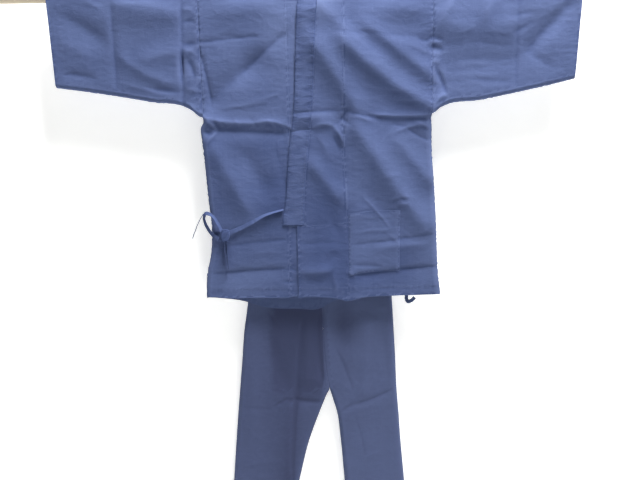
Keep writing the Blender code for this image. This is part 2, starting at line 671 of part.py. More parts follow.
def make_waistband():
    """The waistband: a closed loop of doubled cloth round the top of both legs."""
    middle = (TROUSER_FRONT + TROUSER_BACK) / 2
    half = (TROUSER_BACK - TROUSER_FRONT) / 2
    left = column(LEG_COLUMNS, LEG_ROWS, "left_outer", WAIST_TOP) - LEG_TURN
    right = column(LEG_COLUMNS, LEG_ROWS, "right_outer", WAIST_TOP) + LEG_TURN
    arc = np.linspace(-90.0, 90.0, 9)
    sheets = []
    for lift in (BAND / 2, -BAND / 2):
        loop = []
        for degrees in arc:
            turn = math.radians(degrees)
            loop.append((left + (LEG_TURN + lift) * math.cos(turn), middle + (half + lift) * math.sin(turn)))
        for degrees in arc[::-1]:
            turn = math.radians(degrees)
            loop.append((right - (LEG_TURN + lift) * math.cos(turn), middle + (half + lift) * math.sin(turn)))
        sheets.append(loop)
    count = len(sheets[0])
    vertices = []
    for z in (WAIST_TOP, WAIST_TOP - WAISTBAND_HEIGHT):
        for loop in sheets:
            vertices += [(x, y, z) for x, y in loop]
    faces = []
    for i in range(count):
        j = (i + 1) % count
        top_outer, top_inner, low_outer, low_inner = (k * count for k in range(4))
        faces.append((top_outer + i, low_outer + i, low_outer + j, top_outer + j))
        faces.append((top_inner + j, low_inner + j, low_inner + i, top_inner + i))
        faces.append((top_outer + j, top_inner + j, top_inner + i, top_outer + i))
        faces.append((low_outer + i, low_inner + i, low_inner + j, low_outer + j))
    add_solid("waistband", vertices, faces, material("trousers"))


def add_prism(name, outline, start, end, surface):
    """A solid of one outline in the YZ plane, carried along X from start to end."""
    count = len(outline)
    vertices = [(x, y, z) for x in (start, end) for y, z in outline]
    faces = [tuple(range(count)), tuple(range(2 * count - 1, count - 1, -1))]
    for i in range(count):
        j = (i + 1) % count
        faces.append((j, i, count + i, count + j))
    return add_solid(name, vertices, faces, surface)


def make_rod():
    """The rod through both sleeves."""
    turns = 2 * math.pi * np.arange(32) / 32
    outline = [(ROD_RADIUS * math.cos(turn), ROD_RADIUS * math.sin(turn)) for turn in turns]
    add_prism("rod", outline, -ROD_LENGTH / 2, ROD_LENGTH / 2, material("wood", roughness=0.6))


def make_hook(side):
    """A flat strip bent over the rod on top of the shoulder, down behind the back, and round the waistband."""
    x = HOOK_X if side == "left" else -HOOK_X
    half = HOOK_THICKNESS / 2
    arc = np.radians(np.linspace(-90.0, 90.0, 13))
    outer_arc = [((HOOK_RADIUS + half) * math.sin(a), (HOOK_RADIUS + half) * math.cos(a)) for a in arc]
    inner_arc = [((HOOK_RADIUS - half) * math.sin(a), (HOOK_RADIUS - half) * math.cos(a)) for a in arc[::-1]]
    near, far = HOOK_RADIUS - half, HOOK_RADIUS + half
    jaw_near = TROUSER_FRONT + BAND / 2 + SEAM_GAP
    jaw_far = jaw_near + HOOK_THICKNESS
    bridge = WAIST_TOP + SEAM_GAP
    outline = [(-far, HOOK_LIP)] + outer_arc
    outline += [(far, bridge + HOOK_THICKNESS), (jaw_far, bridge + HOOK_THICKNESS)]
    outline += [(jaw_far, WAIST_TOP - JAW_LENGTH), (jaw_near, WAIST_TOP - JAW_LENGTH), (jaw_near, bridge)]
    outline += [(far, bridge), (far, WAIST_TOP - JAW_LENGTH), (near, WAIST_TOP - JAW_LENGTH)]
    outline += inner_arc + [(-near, HOOK_LIP)]
    start, end = x - HOOK_WIDTH / 2, x + HOOK_WIDTH / 2
    add_prism("hook_" + side, outline, start, end, material("steel", roughness=0.35, metallic=1.0))


def add_tape(name, route, facing, width=TAPE_WIDTH, steps=3):
    """A flat tape along a smooth line through a few points, its face turned to a given direction."""
    line = smooth_line(route, steps)
    along = np.gradient(line, axis=0)
    across = np.cross(along, facing)
    across *= width / 2 / np.linalg.norm(across, axis=1, keepdims=True)
    add_strip(name, line - across, line + across, TAPE, material("tie"))


def on_right_front(row):
    """A point above the lower front's outer face, from a row of x, z and the room left below the tape."""
    place = dict(zip(OUTER_TIE_COLUMNS, row))
    lift = CLOTH / 2 + SEAM_GAP + TAPE / 2 + place["lift"]
    return over_rod(place["x"], place["z"], lift, -1)


def make_knot():
    """The knot of the outer ties: one rounded, tilted solid."""
    mesh = bmesh.new()
    bmesh.ops.create_uvsphere(mesh, u_segments=12, v_segments=8, radius=1.0)
    bmesh.ops.transform(mesh, matrix=Matrix.Diagonal((*KNOT_HALF_SIZE, 1.0)), verts=mesh.verts)
    bmesh.ops.rotate(mesh, matrix=Matrix.Rotation(KNOT_TILT, 3, "Y"), verts=mesh.verts)
    bmesh.ops.translate(mesh, vec=KNOT_CENTRE, verts=mesh.verts)
    vertices = [tuple(vertex.co) for vertex in mesh.verts]
    faces = [tuple(vertex.index for vertex in face.verts) for face in mesh.faces]
    mesh.free()
    add_solid("tie_knot", vertices, faces, material("tie"))


def make_ties():
    """The outer tie from the band, its knot at the side with a loop and loose ends, and the inner ties."""
    add_tape("tie_outer", [on_right_front(row) for row in OUTER_TIE_ROWS], TOWARDS_VIEWER)
    add_tape("tie_side", [on_right_front(row) for row in SIDE_TIE_ROWS], TOWARDS_VIEWER)
    make_knot()
    add_tape("tie_loop", LOOP_ROWS, TOWARDS_VIEWER, steps=4)
    add_tape("tie_end_side", SIDE_END_ROWS, SIDE_END_FACING)
    add_tape("tie_end_short", SHORT_END_ROWS, SHORT_END_FACING)
    add_tape("tie_end_long", LONG_END_ROWS, LONG_END_FACING)
    add_tape("tie_inner_left", INNER_LEFT_ROWS, TOWARDS_VIEWER, width=INNER_TIE_WIDTH)
    add_tape("tie_inner_right", INNER_RIGHT_ROWS, TOWARDS_VIEWER, width=INNER_TIE_WIDTH)


def main():
    """Clear the scene and build every piece."""
    for piece in list(bpy.data.objects):
        bpy.data.objects.remove(piece, do_unlink=True)
    make_rod()
    for side in ("left", "right"):
        make_body(side)
        make_sleeve(side)
        make_okumi(side)
        make_leg(side)
        make_hook(side)
    make_band()
    make_pocket()
    make_waistband()
    make_ties()


main()
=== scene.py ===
"""The looks of a samue, a cotton work jacket over its trousers, hung on a plain rod.

Every cloth piece is a thin shell on the outer face of its own solid. Its creases are rows of a table, raised
by one function for all layers of the front, so that the layers keep their places on each other.
"""
import math

import bmesh
import bpy
import numpy as np
from mathutils import Euler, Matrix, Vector


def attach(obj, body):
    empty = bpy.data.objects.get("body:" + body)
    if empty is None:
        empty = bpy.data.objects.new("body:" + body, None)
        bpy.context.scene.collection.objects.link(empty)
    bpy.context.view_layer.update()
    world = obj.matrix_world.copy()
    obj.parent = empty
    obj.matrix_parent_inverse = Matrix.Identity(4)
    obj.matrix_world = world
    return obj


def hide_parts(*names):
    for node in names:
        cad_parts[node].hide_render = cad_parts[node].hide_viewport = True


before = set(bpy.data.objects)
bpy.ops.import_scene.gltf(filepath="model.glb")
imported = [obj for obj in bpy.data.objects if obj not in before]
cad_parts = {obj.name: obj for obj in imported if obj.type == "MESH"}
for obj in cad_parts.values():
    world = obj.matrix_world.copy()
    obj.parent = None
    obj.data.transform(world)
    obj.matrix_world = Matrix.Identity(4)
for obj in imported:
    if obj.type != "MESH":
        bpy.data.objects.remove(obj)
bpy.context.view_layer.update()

bl_info = {
    "name": "Samue on a rod",
    "version": (1, 0, 0),
    "blender": (4, 5, 0),
    "location": "3D View > Sidebar > Samue",
    "description": "Builds the cloth, stitching and rod of a hanging samue",
    "category": "Add Mesh",
}

# Sizes shared with the solids, in metres
CLOTH = 0.0020
BAND = 0.0028
SEAM_GAP = 0.0003
HALF_CLOTH = CLOTH / 2
ROD_RADIUS = 0.014
FALL_RADIUS = ROD_RADIUS + SEAM_GAP + HALF_CLOTH
QUARTER = FALL_RADIUS * math.pi / 2
HEM_HALF_DEPTH = 0.0125
DROP = 0.79
OVERLAP_LIFT = 0.0031
OVERLAP_FLAT = 0.096
OVERLAP_END = 0.150
SIDE_TURN = 0.012
ARMHOLE_X = {"left": 0.298, "right": -0.292}
UNDERARM_START = -0.3065
UNDERARM_END = -0.3165
CUFF_TOP = {"left": 0.6735, "right": -0.6710}
CUFF_LEAN = {"left": -0.0094, "right": 0.0060}
SLEEVE_TURN = 0.011
POCKET = {"left": 0.0815, "right": 0.2185, "top": -0.5545, "bottom": -0.7220, "lift": 0.0023}
WAIST_TOP = -0.716
WAISTBAND_HEIGHT = 0.040
LEG_TOP = 0.7565
ANKLE = 1.646
CROTCH = -1.0660
TROUSER_FRONT = 0.0202
TROUSER_BACK = 0.0452
LEG_TURN = 0.0125
INSEAM_START = -1.0620
INSEAM_END = -1.0920
BAND_BOTTOM = -0.587
BAND_TOP = -0.020
FREE_EDGE = -0.0550
INNER_HEM = -0.7840
NECK_BACK_ANGLE = 76.0
HOOK_X = 0.165
HOOK_WIDTH = 0.018
HOOK_THICKNESS = 0.0015
HOOK_RADIUS = FALL_RADIUS + HALF_CLOTH + SEAM_GAP + HOOK_THICKNESS / 2
HOOK_JAW = 0.030
HOOK_TIP = -0.002
ROD_HALF_LENGTH = 0.84
BAND_WIDTH = 0.048
TAPE_WIDTH = 0.0105
INNER_TAPE_WIDTH = 0.0095
LOOP_TAPE_WIDTH = 0.0100
TROUSER_MIDDLE = (TROUSER_FRONT + TROUSER_BACK) / 2
TROUSER_HALF = (TROUSER_BACK - TROUSER_FRONT) / 2

# Sizes of the looks alone, in metres
HEM_LINE = 0.764
HEM_STEP = 0.0005
CUFF_HEM = 0.030
TROUSER_HEM = 0.028
WAISTBAND_SHELL = 0.0016
WAISTBAND_ROUND = 0.84
BAND_STEP = 0.0012
TAPE_STEP = 0.0022
TAPE_HALF = 0.0006
# y of a plane behind the whole garment, that the inner sides of flat pieces face
FAR_BEHIND = 50.0
CREST_HEIGHT = 0.0012

# Shares of the way round a sleeve and a leg: the turns at their seams, and the sleeve's fall up to the rod
SLEEVE_TURN_SHARE = 0.06
SLEEVE_FALL_SHARE = 0.40
LEG_TURN_SHARE = 0.045
# Share of the way up an overlap panel where its neck edge starts
OKUMI_NECK_SHARE = 0.96

# The sign of x on either side: +X is the wearer's left
SIGN = {"left": 1.0, "right": -1.0}

OUTLINE = (
    ("z", "left_side", "right_side", "okumi_seam", "band_seam", "band_edge"),
    (-0.790, 0.331, -0.3055, 0.0787, -0.0540, -0.0540),
    (-0.728, 0.323, -0.3012, 0.0786, -0.0540, -0.0540),
    (-0.668, 0.3195, -0.2880, 0.0782, -0.0545, -0.0545),
    (-0.602, 0.316, -0.2830, 0.0772, -0.0385, -0.0905),
    (-0.520, 0.311, -0.2885, 0.0752, -0.0345, -0.0830),
    (-0.390, 0.301, -0.2957, 0.0700, -0.0225, -0.0715),
    (-0.331, 0.300, -0.3005, 0.0690, -0.0150, -0.0625),
    (-0.289, 0.300, -0.2990, 0.0695, -0.0100, -0.0575),
    (-0.165, 0.298, -0.2920, 0.0708, -0.0027, -0.0509),
    (-0.020, 0.298, -0.2920, 0.0708, 0.0072, -0.0426),
    (0.030, 0.298, -0.2920, 0.0708, 0.0120, -0.0380),
)
HEM = (
    ("x", "front", "back"),
    (-0.310, -0.7830, -0.7880),
    (-0.210, -0.7865, -0.8015),
    (-0.150, -0.7870, -0.8200),
    (-0.060, -0.7865, -0.8260),
    (0.000, -0.7860, -0.8270),
    (0.040, -0.7890, -0.8060),
    (0.076, -0.7980, -0.7960),
    (0.115, -0.7905, -0.7900),
    (0.200, -0.7865, -0.7880),
    (0.332, -0.7850, -0.7860),
)
SLEEVE = (
    ("reach", "left", "right"),
    (0.290, -0.3050, -0.3050),
    (0.300, -0.3030, -0.3020),
    (0.322, -0.2880, -0.2850),
    (0.430, -0.2690, -0.2615),
    (0.583, -0.2388, -0.2352),
    (0.680, -0.2170, -0.2215),
)
NECK = (
    ("x_seam", "y_seam", "z_seam", "x_free", "y_free", "z_free"),
    (0.0100, -0.0188, -0.0040, -0.0390, -0.0188, 0.0060),
    (0.0150, -0.0188, 0.0050, -0.0300, -0.0190, 0.0270),
    (0.0270, -0.0185, 0.0105, -0.0070, -0.0190, 0.0460),
    (0.0440, -0.0165, 0.0142, 0.0230, -0.0180, 0.0590),
    (0.0640, -0.0105, 0.0165, 0.0540, -0.0150, 0.0645),
    (0.0830, -0.0010, 0.0174, 0.0800, -0.0050, 0.0660),
    (0.0860, 0.0080, 0.0160, 0.0860, 0.0080, 0.0655),
    (0.0740, 0.0155, 0.0090, 0.0740, 0.0160, 0.0635),
    (0.0450, 0.0180, 0.0030, 0.0450, 0.0195, 0.0605),
    (0.0000, 0.0183, 0.0000, 0.0000, 0.0205, 0.0590),
)
NECK_FRONT_ROWS = 4
OKUMI_TOP = (
    ("x_edge", "rise_edge", "x_seam", "rise_seam"),
    (0.0079, -0.0200, 0.0707, -0.0200),
    (0.0112, -0.0055, 0.0707, 0.0000),
    (0.0165, 0.0035, 0.0707, 0.0050),
    (0.0285, 0.0080, 0.0707, 0.0100),
    (0.0450, 0.0105, 0.0707, 0.0145),
    (0.0600, 0.0125, 0.0707, 0.0185),
)
NECKLINE = (
    ("angle", "x"),
    (-90.0, 0.0711),
    (-54.0, 0.0711),
    (-36.0, 0.0712),
    (-18.0, 0.0730),
    (0.0, 0.0840),
    (18.0, 0.0850),
    (36.0, 0.0790),
    (52.0, 0.0660),
    (64.0, 0.0440),
    (72.0, 0.0100),
    (76.0, 0.00015),
)
LEG = (
    ("z", "left_outer", "left_inner", "right_inner", "right_outer"),
    (-1.646, 0.2640, 0.0950, -0.1320, -0.2850),
    (-1.350, 0.2405, 0.0660, -0.0650, -0.2580),
    (-1.224, 0.2290, 0.0560, -0.0335, -0.2460),
    (-1.140, 0.2230, 0.0460, -0.0030, -0.2375),
    (-1.094, 0.2190, 0.0330, 0.0150, -0.2325),
    (-1.066, 0.2170, 0.0262, 0.0262, -0.2295),
    (-0.980, 0.2130, 0.0141, 0.0141, -0.2200),
    (-0.900, 0.2085, 0.0098, 0.0098, -0.2120),
    (-0.810, 0.2030, 0.0100, 0.0100, -0.1980),
    (-0.716, 0.1960, 0.0100, 0.0100, -0.1900),
)

# Creases, in millimetres: a line from (x0, z0) to (x1, z1) that bends by bend at its middle. height is over
# zero on a ridge and under zero in a trough, and crest is its roundness. above and below are its widths, with
# above on the left of the way from the first point to the second, as the front is seen.
CREASE_COLUMNS = ("x0", "z0", "x1", "z1", "bend", "height", "above", "below", "crest")
FRONT_CREASES = (
    (-660, -52, 660, -50, 3, 2.2, 18, 24, 15),
    (-316, -120, -130, -104, 2, -2.2, 4.5, 7, 0.6),
    (-250, -106, -196, -100, 2, -1.2, 5, 5, 1),
    (-300, -294, -128, -142, 2, -9.6, 16, 20, 18),
    (-200, -204, -66, -92, 2, -3.4, 8, 9, 5),
    (-262, -46, -80, -34, 6, 3.4, 16, 26, 16),
    (-238, -278, -110, -262, -4, 1.4, 6, 4, 1),
    (-184, -268, -78, -240, -4, 1.4, 6, 4, 1),
    (-262, -250, -180, -232, 4, 1.6, 14, 12, 4),
    (48, -94, 342, -306, -18, 14.6, 20, 19, 18),
    (104, -62, 316, -226, 3, 11, 20, 14, 17),
    (208, -122, 302, -158, 2, 2, 9, 7, 3),
    (-24, -88, 124, -318, 2, 13, 25, 18, 24),
    (-30, 4, 190, -196, 0, 7, 18, 60, 14),
    (100, -44, 290, -50, 4, 4.4, 16, 30, 20),
    (30, -92, 300, -112, -3, -0.9, 6, 5, 1),
    (255, -118, 300, -127, 2, -2.2, 5, 6, 1),
    (120, -226, 240, -244, -6, 1, 6, 6, 1.5),
    (180, -262, 280, -272, -4, 1, 5, 5, 1.5),
    (-302, -300, -226, -317, -2, 5.2, 8, 7, 2.5),
    (-256, -313, -120, -316, -5, 5.2, 8, 8, 2.5),
    (-146, -314, -58, -338, 6, 5, 7, 6, 2),
    (-278, -336, -66, -350, 2, -4.8, 9, 14, 4),
    (-262, -306, -238, -330, 0, 1.8, 5, 5, 1),
    (-214, -308, -196, -328, 0, 1.5, 4, 5, 1),
    (-172, -306, -150, -330, 1, -1.8, 5, 5, 1),
    (-128, -310, -104, -334, 0, 1.8, 5, 4, 1),
    (-90, -318, -66, -344, 0, -1.5, 4, 4, 1),
    (-302, -304, -256, -337, 4, 3.8, 5, 6, 1),
    (-290, -373, -256, -338, 0, 3.8, 6, 6, 1),
    (-300, -342, -266, -346, 2, -2.6, 5, 5, 1),
    (-296, -322, -276, -352, 0, -1.6, 5, 5, 1),
    (-64, -298, 72, -291, 2, -2.4, 6, 7, 1.2),
    (-64, -312, 50, -308, 3, 4, 12, 20, 4),
    (-70, -345, 0, -340, 3, -3, 7, 7, 2),
    (-10, -334, 52, -334, 9, 4.8, 12, 6, 2.5),
    (44, -330, 73, -386, 4, 5, 10, 6, 2.5),
    (40, -352, 62, -400, 2, -2.2, 8, 8, 2),
    (52, -326, 80, -288, -3, -2.6, 6, 5, 1.2),
    (62, -306, 90, -330, 0, -2.6, 6, 5, 1.2),
    (72, -362, 86, -300, 0, 2, 5, 6, 1.5),
    (70, -291, 168, -310, -3, -2.4, 5, 5, 1),
    (138, -303, 302, -307, -2, 4.2, 9, 4, 1),
    (150, -316, 280, -319, -2, -0.8, 5, 12, 2),
    (92, -300, 150, -322, 0, 2, 7, 6, 1.5),
    (190, -354, 298, -330, 7, 2.2, 6, 5, 1),
    (228, -330, 300, -372, -6, -2.4, 6, 5, 1),
    (246, -318, 302, -345, 3, 2.2, 5, 5, 1),
    (186, -326, 236, -338, 2, -1.8, 5, 6, 1),
    (-292, -350, -174, -574, 4, 7.8, 18, 22, 18),
    (-205, -372, -125, -530, 6, -4.8, 18, 16, 20),
    (-108, -378, -76, -520, 0, -1.6, 12, 12, 5),
    (-216, -601, -72, -566, 10, 6.2, 16, 24, 6),
    (-236, -642, -70, -626, 2, -1.6, 4, 8, 0.6),
    (-190, -668, -100, -660, 3, 1.6, 14, 12, 5),
    (-292, -719, -74, -706, 3, -4.4, 4.5, 28, 0.8),
    (-84, -702, -56, -700, 2, -1.4, 4, 4, 0.8),
    (-78, -706, -56, -714, 0, -1.6, 4, 4, 0.8),
    (-106, -744, -56, -743, 0, -1.4, 4, 4, 0.8),
    (-250, -640, -251, -745, 0, -1.1, 4, 4, 1),
    (80, -300, 310, -630, -4, 13.2, 22, 21, 22),
    (190, -348, 314, -500, 2, 6.4, 15, 14, 18),
    (100, -480, 200, -570, 2, -2, 14, 14, 18),
    (188, -526, 256, -517, 6, 2, 6, 5, 1),
    (208, -512, 240, -532, 0, -1.8, 4, 4, 1),
    (206, -540, 246, -536, 3, 1.6, 5, 5, 1),
    (112, -506, 196, -604, 3, 1.7, 5, 4, 1),
    (94, -612, 206, -606, 4, 1.4, 6, 5, 1),
    (150, -470, 230, -456, 2, 1.2, 6, 6, 1),
    (81, -643, 318, -614, -4, -1.8, 4, 8, 0.6),
    (190, -618, 226, -644, 0, 1.8, 6, 6, 1.2),
    (150, -656, 312, -646, 4, 4.4, 10, 24, 6),
    (81, -731, 324, -706, 4, -4.6, 4.5, 26, 0.8),
    (79, -700, 180, -706, 2, -1.6, 6, 6, 1),
    (205, -705, 224, -718, 0, 1.6, 4, 4, 1),
    (79, -712, 104, -738, 0, 2.2, 6, 6, 1.5),
    (-64, -716, 50, -708, -4, 8, 24, 12, 6),
    (-46, -742, 40, -736, -3, -1.2, 10, 12, 5),
    (20, -712, 50, -660, 4, -2.4, 10, 10, 4),
    (-30, -400, 78, -542, -2, 8.6, 18, 13, 20),
    (4, -352, 36, -420, 3, 2.8, 14, 10, 6),
    (-52, -640, 76, -640, 2, -1.2, 6, 6, 1),
    (30, -560, 60, -640, 2, -2.6, 16, 14, 6),
    (38, -722, 52, -786, 2, 2.2, 8, 8, 3),
    (-510, -232, -509, -10, 0, -2.2, 7, 12, 0.8),
    (-660, -40, -520, -130, 10, -5.2, 13, 20, 18),
    (-600, 0, -520, -45, 4, 2.4, 10, 10, 5),
    (-650, -188, -560, -202, 3, -3.4, 8, 18, 3),
    (-655, -110, -560, -150, 3, 2, 14, 14, 6),
    (-520, -22, -325, -52, 6, 5.6, 14, 18, 22),
    (-460, -162, -326, -138, 3, 4.6, 12, 12, 15),
    (-506, -138, -352, -222, -12, 3.8, 12, 10, 12),
    (-432, -226, -345, -238, -2, -3, 7, 9, 2),
    (-500, -212, -350, -250, -3, 1.6, 6, 6, 1),
    (-342, -286, -333, -10, 0, -2.2, 4, 10, 0.8),
    (-342, -216, -338, -136, 0, -6.2, 4, 3, 1),
    (-326, -152, -306, -212, 2, -4.2, 8, 8, 3),
    (-334, -122, -300, -116, -1, -2.6, 6, 6, 1),
    (-338, -138, -304, -142, 2, 2.4, 6, 6, 1.2),
    (-334, -232, -300, -238, 2, 2.2, 6, 6, 1.2),
    (-334, -68, -302, -64, 1, -1.8, 5, 5, 1),
    (-334, -36, -302, -40, 1, 1.8, 6, 6, 1),
    (-332, -262, -300, -306, 2, 2.6, 6, 5, 1),
    (-296, -128, -268, -282, 4, -3, 5, 7, 1),
    (268, -88, 540, -88, 2, 5.8, 26, 36, 12),
    (312, -88, 352, -10, 0, 5, 12, 9, 12),
    (424, -86, 448, -10, 0, 4.2, 12, 9, 12),
    (300, -134, 430, -128, 2, -1, 8, 12, 2),
    (400, -120, 508, -136, -4, -1.2, 6, 8, 1.5),
    (296, -182, 560, -172, 4, -5.6, 30, 40, 14),
    (528, -166, 662, -20, 3, -7.2, 10, 14, 16),
    (500, -66, 556, -56, 2, -1.6, 6, 6, 1.2),
    (500, -108, 550, -82, 2, -2, 7, 8, 1.5),
    (344, -106, 404, -92, -2, 1.3, 6, 6, 1.5),
    (420, -100, 500, -110, 3, 1, 6, 6, 1.5),
    (336, -212, 464, -210, 4, 1.2, 10, 8, 2),
    (396, -217, 510, -222, -3, -1.4, 6, 7, 1.2),
    (340, -184, 450, -180, 3, 2, 10, 10, 3),
    (544, -154, 612, -196, 0, -2.2, 8, 10, 5),
    (512, -12, 514, -240, 0, -1.8, 8, 8, 1),
    (282, -114, 326, -121, 3, -3.2, 5, 6, 1),
    (282, -126, 326, -132, 3, 2.7, 5, 5, 1),
    (286, -138, 328, -146, 3, -3, 5, 6, 1),
    (288, -150, 322, -158, 2, 1.4, 5, 5, 1.2),
    (290, -172, 320, -177, 3, 3.2, 6, 5, 1),
    (306, -186, 336, -256, 3, -5.6, 4, 8, 0.8),
    (306, -274, 340, -254, 4, 4.8, 8, 5, 1.2),
)
BACK_CREASES = (
    (-290, -118, -90, -102, 3, -2.2, 12, 10, 1.2),
    (40, -98, 292, -116, -2, -2, 10, 10, 1.2),
    (-262, -322, -50, -300, 6, -4.2, 20, 10, 2),
    (50, -310, 276, -324, -4, -4, 20, 10, 2),
    (-30, -190, 180, -70, -8, -3, 20, 18, 8),
    (-250, -80, -120, -250, 8, -3.2, 20, 20, 9),
    (-250, -400, -140, -520, 6, -2.6, 22, 20, 10),
    (110, -380, 240, -540, 8, -3, 24, 20, 10),
    (-268, -562, -50, -545, 3, -2.6, 10, 10, 1.2),
    (50, -550, 276, -566, 2, -2.6, 10, 10, 1.2),
    (-290, -716, -60, -704, 3, -2.6, 10, 10, 1),
    (60, -706, 310, -716, 2, -2.6, 10, 10, 1),
    (-509, -10, -510, -232, 0, -1.4, 8, 8, 1),
    (512, -240, 514, -12, 0, -1.4, 8, 8, 1),
    (-630, -150, -420, -60, 6, -2.6, 18, 16, 8),
    (400, -70, 610, -150, 6, -2.6, 18, 16, 8),
    (300, -118, 380, -112, 2, -1.6, 8, 8, 1.5),
    (-385, -110, -300, -120, 2, -1.6, 8, 8, 1.5),
)
TROUSER_CREASES = (
    (-152, -828, -112, -895, 4, -2.6, 8, 10, 3),
    (-150, -870, -88, -1085, -6, -3, 14, 20, 20),
    (-120, -1060, -10, -1086, 4, -1.6, 18, 16, 20),
    (-200, -1220, -186, -860, 0, 4, 20, 16, 30),
    (-84, -1380, -46, -850, 8, -4.2, 6, 12, 1.2),
    (-94, -1340, -66, -1120, 4, 2.8, 14, 8, 6),
    (-40, -1060, -30, -850, 0, 1.6, 10, 10, 6),
    (4, -1052, 0, -824, 6, -4.4, 5, 9, 2),
    (40, -1040, 20, -830, 0, 2.2, 12, 12, 10),
    (74, -960, 70, -830, 0, -2, 16, 18, 16),
    (44, -938, 94, -1075, 3, -1.5, 4, 4, 1),
    (98, -1145, 130, -1285, 2, -0.8, 4, 5, 1),
    (122, -1100, 138, -850, 0, 3, 12, 12, 18),
    (172, -880, 196, -1060, 4, -1.8, 14, 14, 6),
    (52, -1140, 100, -1112, 3, -2.2, 6, 6, 1.5),
    (90, -1116, 210, -1066, -5, -2.8, 6, 10, 1.2),
    (-236, -1112, -132, -1122, -2, -1.4, 5, 7, 1),
    (-140, -1120, -96, -1096, 2, -2, 6, 6, 1.2),
    (-104, -1094, 8, -1104, -4, -3.4, 9, 8, 1.5),
    (104, -1290, 180, -1262, 4, 1.4, 10, 8, 3),
    (-230, -1300, -120, -1284, 4, 1.2, 10, 8, 3),
    (-262, -1425, -90, -1410, -3, -2.2, 6, 10, 1.2),
    (86, -1408, 244, -1398, 3, -2.2, 6, 10, 1.2),
    (-200, -1640, -170, -1360, 0, 2.6, 18, 18, 8),
    (130, -1640, 170, -1350, 0, 2.6, 18, 18, 8),
    (150, -835, 206, -818, 3, 2, 8, 8, 3),
)
# Lines of painted shade, where the trousers are painted darker, in the same columns: height is thousandths of
# paleness.
TROUSER_PAINTED_SHADE = (
    (-100, -1430, -62, -1080, 4, -1800, 24, 10, 2),
    (-62, -1100, -45, -850, 2, -1400, 14, 10, 2),
    (10, -1060, 6, -824, 2, -1800, 6, 2, 1),
    (-110, -1092, 0, -1094, -4, -1000, 5, 6, 1),
    (46, -945, 94, -1075, 3, -500, 3, 3, 1),
    (98, -1145, 130, -1285, 2, -400, 3, 3, 1),
)
# Soft patches of painted light and shade on the jacket, paler or darker: x, z, width and height in metres,
# and amount.
JACKET_PAINTED_LIGHT_AND_SHADE = (
    (-0.115, -0.520, 0.050, 0.090, -0.9),
    (0.030, -0.610, 0.060, 0.130, -1.0),
    (0.100, -0.680, 0.060, 0.080, -1.6),
    (-0.085, -0.090, 0.050, 0.080, 1.0),
    (0.290, -0.670, 0.045, 0.090, 0.7),
    (-0.230, -0.740, 0.090, 0.060, 0.9),
    (0.205, -0.705, 0.080, 0.070, -0.9),
    (-0.150, -0.375, 0.100, 0.025, -0.5),
    (0.014, -0.034, 0.030, 0.034, 1.3),
)


# Settings that the lengths and the colours in the sidebar share
LENGTH = {"subtype": "DISTANCE", "unit": "LENGTH", "precision": 5}
COLOUR = {"subtype": "COLOR", "size": 3, "min": 0.0, "max": 1.0}


class SamueSizes(bpy.types.PropertyGroup):
    """Sizes of the cloth and of its creases."""

    cloth: bpy.props.FloatProperty(
        name="Cloth", description="Thickness of the cotton", default=0.0009, min=0.0003, max=0.0018, **LENGTH)
    tape: bpy.props.FloatProperty(
        name="Tape", description="Thickness of the ties", default=0.0009, min=0.0003, max=0.0012, **LENGTH)
    creases: bpy.props.FloatProperty(
        name="Creases", description="Strength of the creases", default=1.0, min=0.0, max=1.3,
        subtype="FACTOR")
    puckers: bpy.props.FloatProperty(
        name="Puckers", description="Strength of the puckers beside the seams", default=1.0, min=0.0, max=2.0,
        subtype="FACTOR")
    crumple: bpy.props.FloatProperty(
        name="Crumple", description="Depth of the small wrinkles all over", default=0.00045, min=0.0,
        max=0.001, **LENGTH)
    stitch: bpy.props.FloatProperty(
        name="Stitch", description="Length of one stitch", default=0.0030, min=0.0015, max=0.006, **LENGTH)
    thread: bpy.props.FloatProperty(
        name="Thread", description="Thickness of the sewing thread", default=0.00036, min=0.0002,
        max=0.001, **LENGTH)


class SamueColours(bpy.types.PropertyGroup):
    """Colours of the materials."""

    jacket: bpy.props.FloatVectorProperty(
        name="Jacket", description="Indigo of the jacket", default=(0.047, 0.069, 0.165), **COLOUR)
    faded: bpy.props.FloatVectorProperty(
        name="Faded", description="Indigo where wear has paled it", default=(0.112, 0.148, 0.292), **COLOUR)
    trousers: bpy.props.FloatVectorProperty(
        name="Trousers", description="Darker indigo of the trousers", default=(0.040, 0.050, 0.108), **COLOUR)
    thread: bpy.props.FloatVectorProperty(
        name="Thread", description="Sewing thread", default=(0.072, 0.100, 0.200), **COLOUR)
    wood: bpy.props.FloatVectorProperty(
        name="Wood", description="Pale wood of the rod", default=(0.680, 0.590, 0.450), **COLOUR)
    steel: bpy.props.FloatVectorProperty(
        name="Steel", description="Brushed steel of the strips", default=(0.560, 0.570, 0.580), **COLOUR)


def sizes():
    """The sizes set in the sidebar."""
    return bpy.context.scene.samue_sizes


def colours():
    """The colours set in the sidebar."""
    return bpy.context.scene.samue_colours


def cubic(keys, values, places):
    """Values at places between their keys, by cubic pieces with shared slopes."""
    slope = np.gradient(values, keys, axis=0)
    index = np.clip(np.searchsorted(keys, places) - 1, 0, len(keys) - 2)
    step = keys[index + 1] - keys[index]
    t = (places - keys[index]) / step
    if values.ndim > 1:
        step, t = step[:, None], t[:, None]
    start = (2 * t**3 - 3 * t**2 + 1) * values[index] + (t**3 - 2 * t**2 + t) * step * slope[index]
    end = (3 * t**2 - 2 * t**3) * values[index + 1] + (t**3 - t**2) * step * slope[index + 1]
    return start + end


def column(table, name, position):
    """Smooth value of a named column at a position in the first one. The table's first row is its names."""
    data = np.array(table[1:], dtype=float)
    keys = data[:, 0]
    position = np.clip(np.asarray(position, dtype=float), keys[0], keys[-1])
    return cubic(keys, data[:, table[0].index(name)], position)


def ease(value, start, end):
    """0 before start, 1 after end, with a smooth rise between them."""
    t = np.clip((value - start) / (end - start), 0.0, 1.0)
    return t * t * (3 - 2 * t)


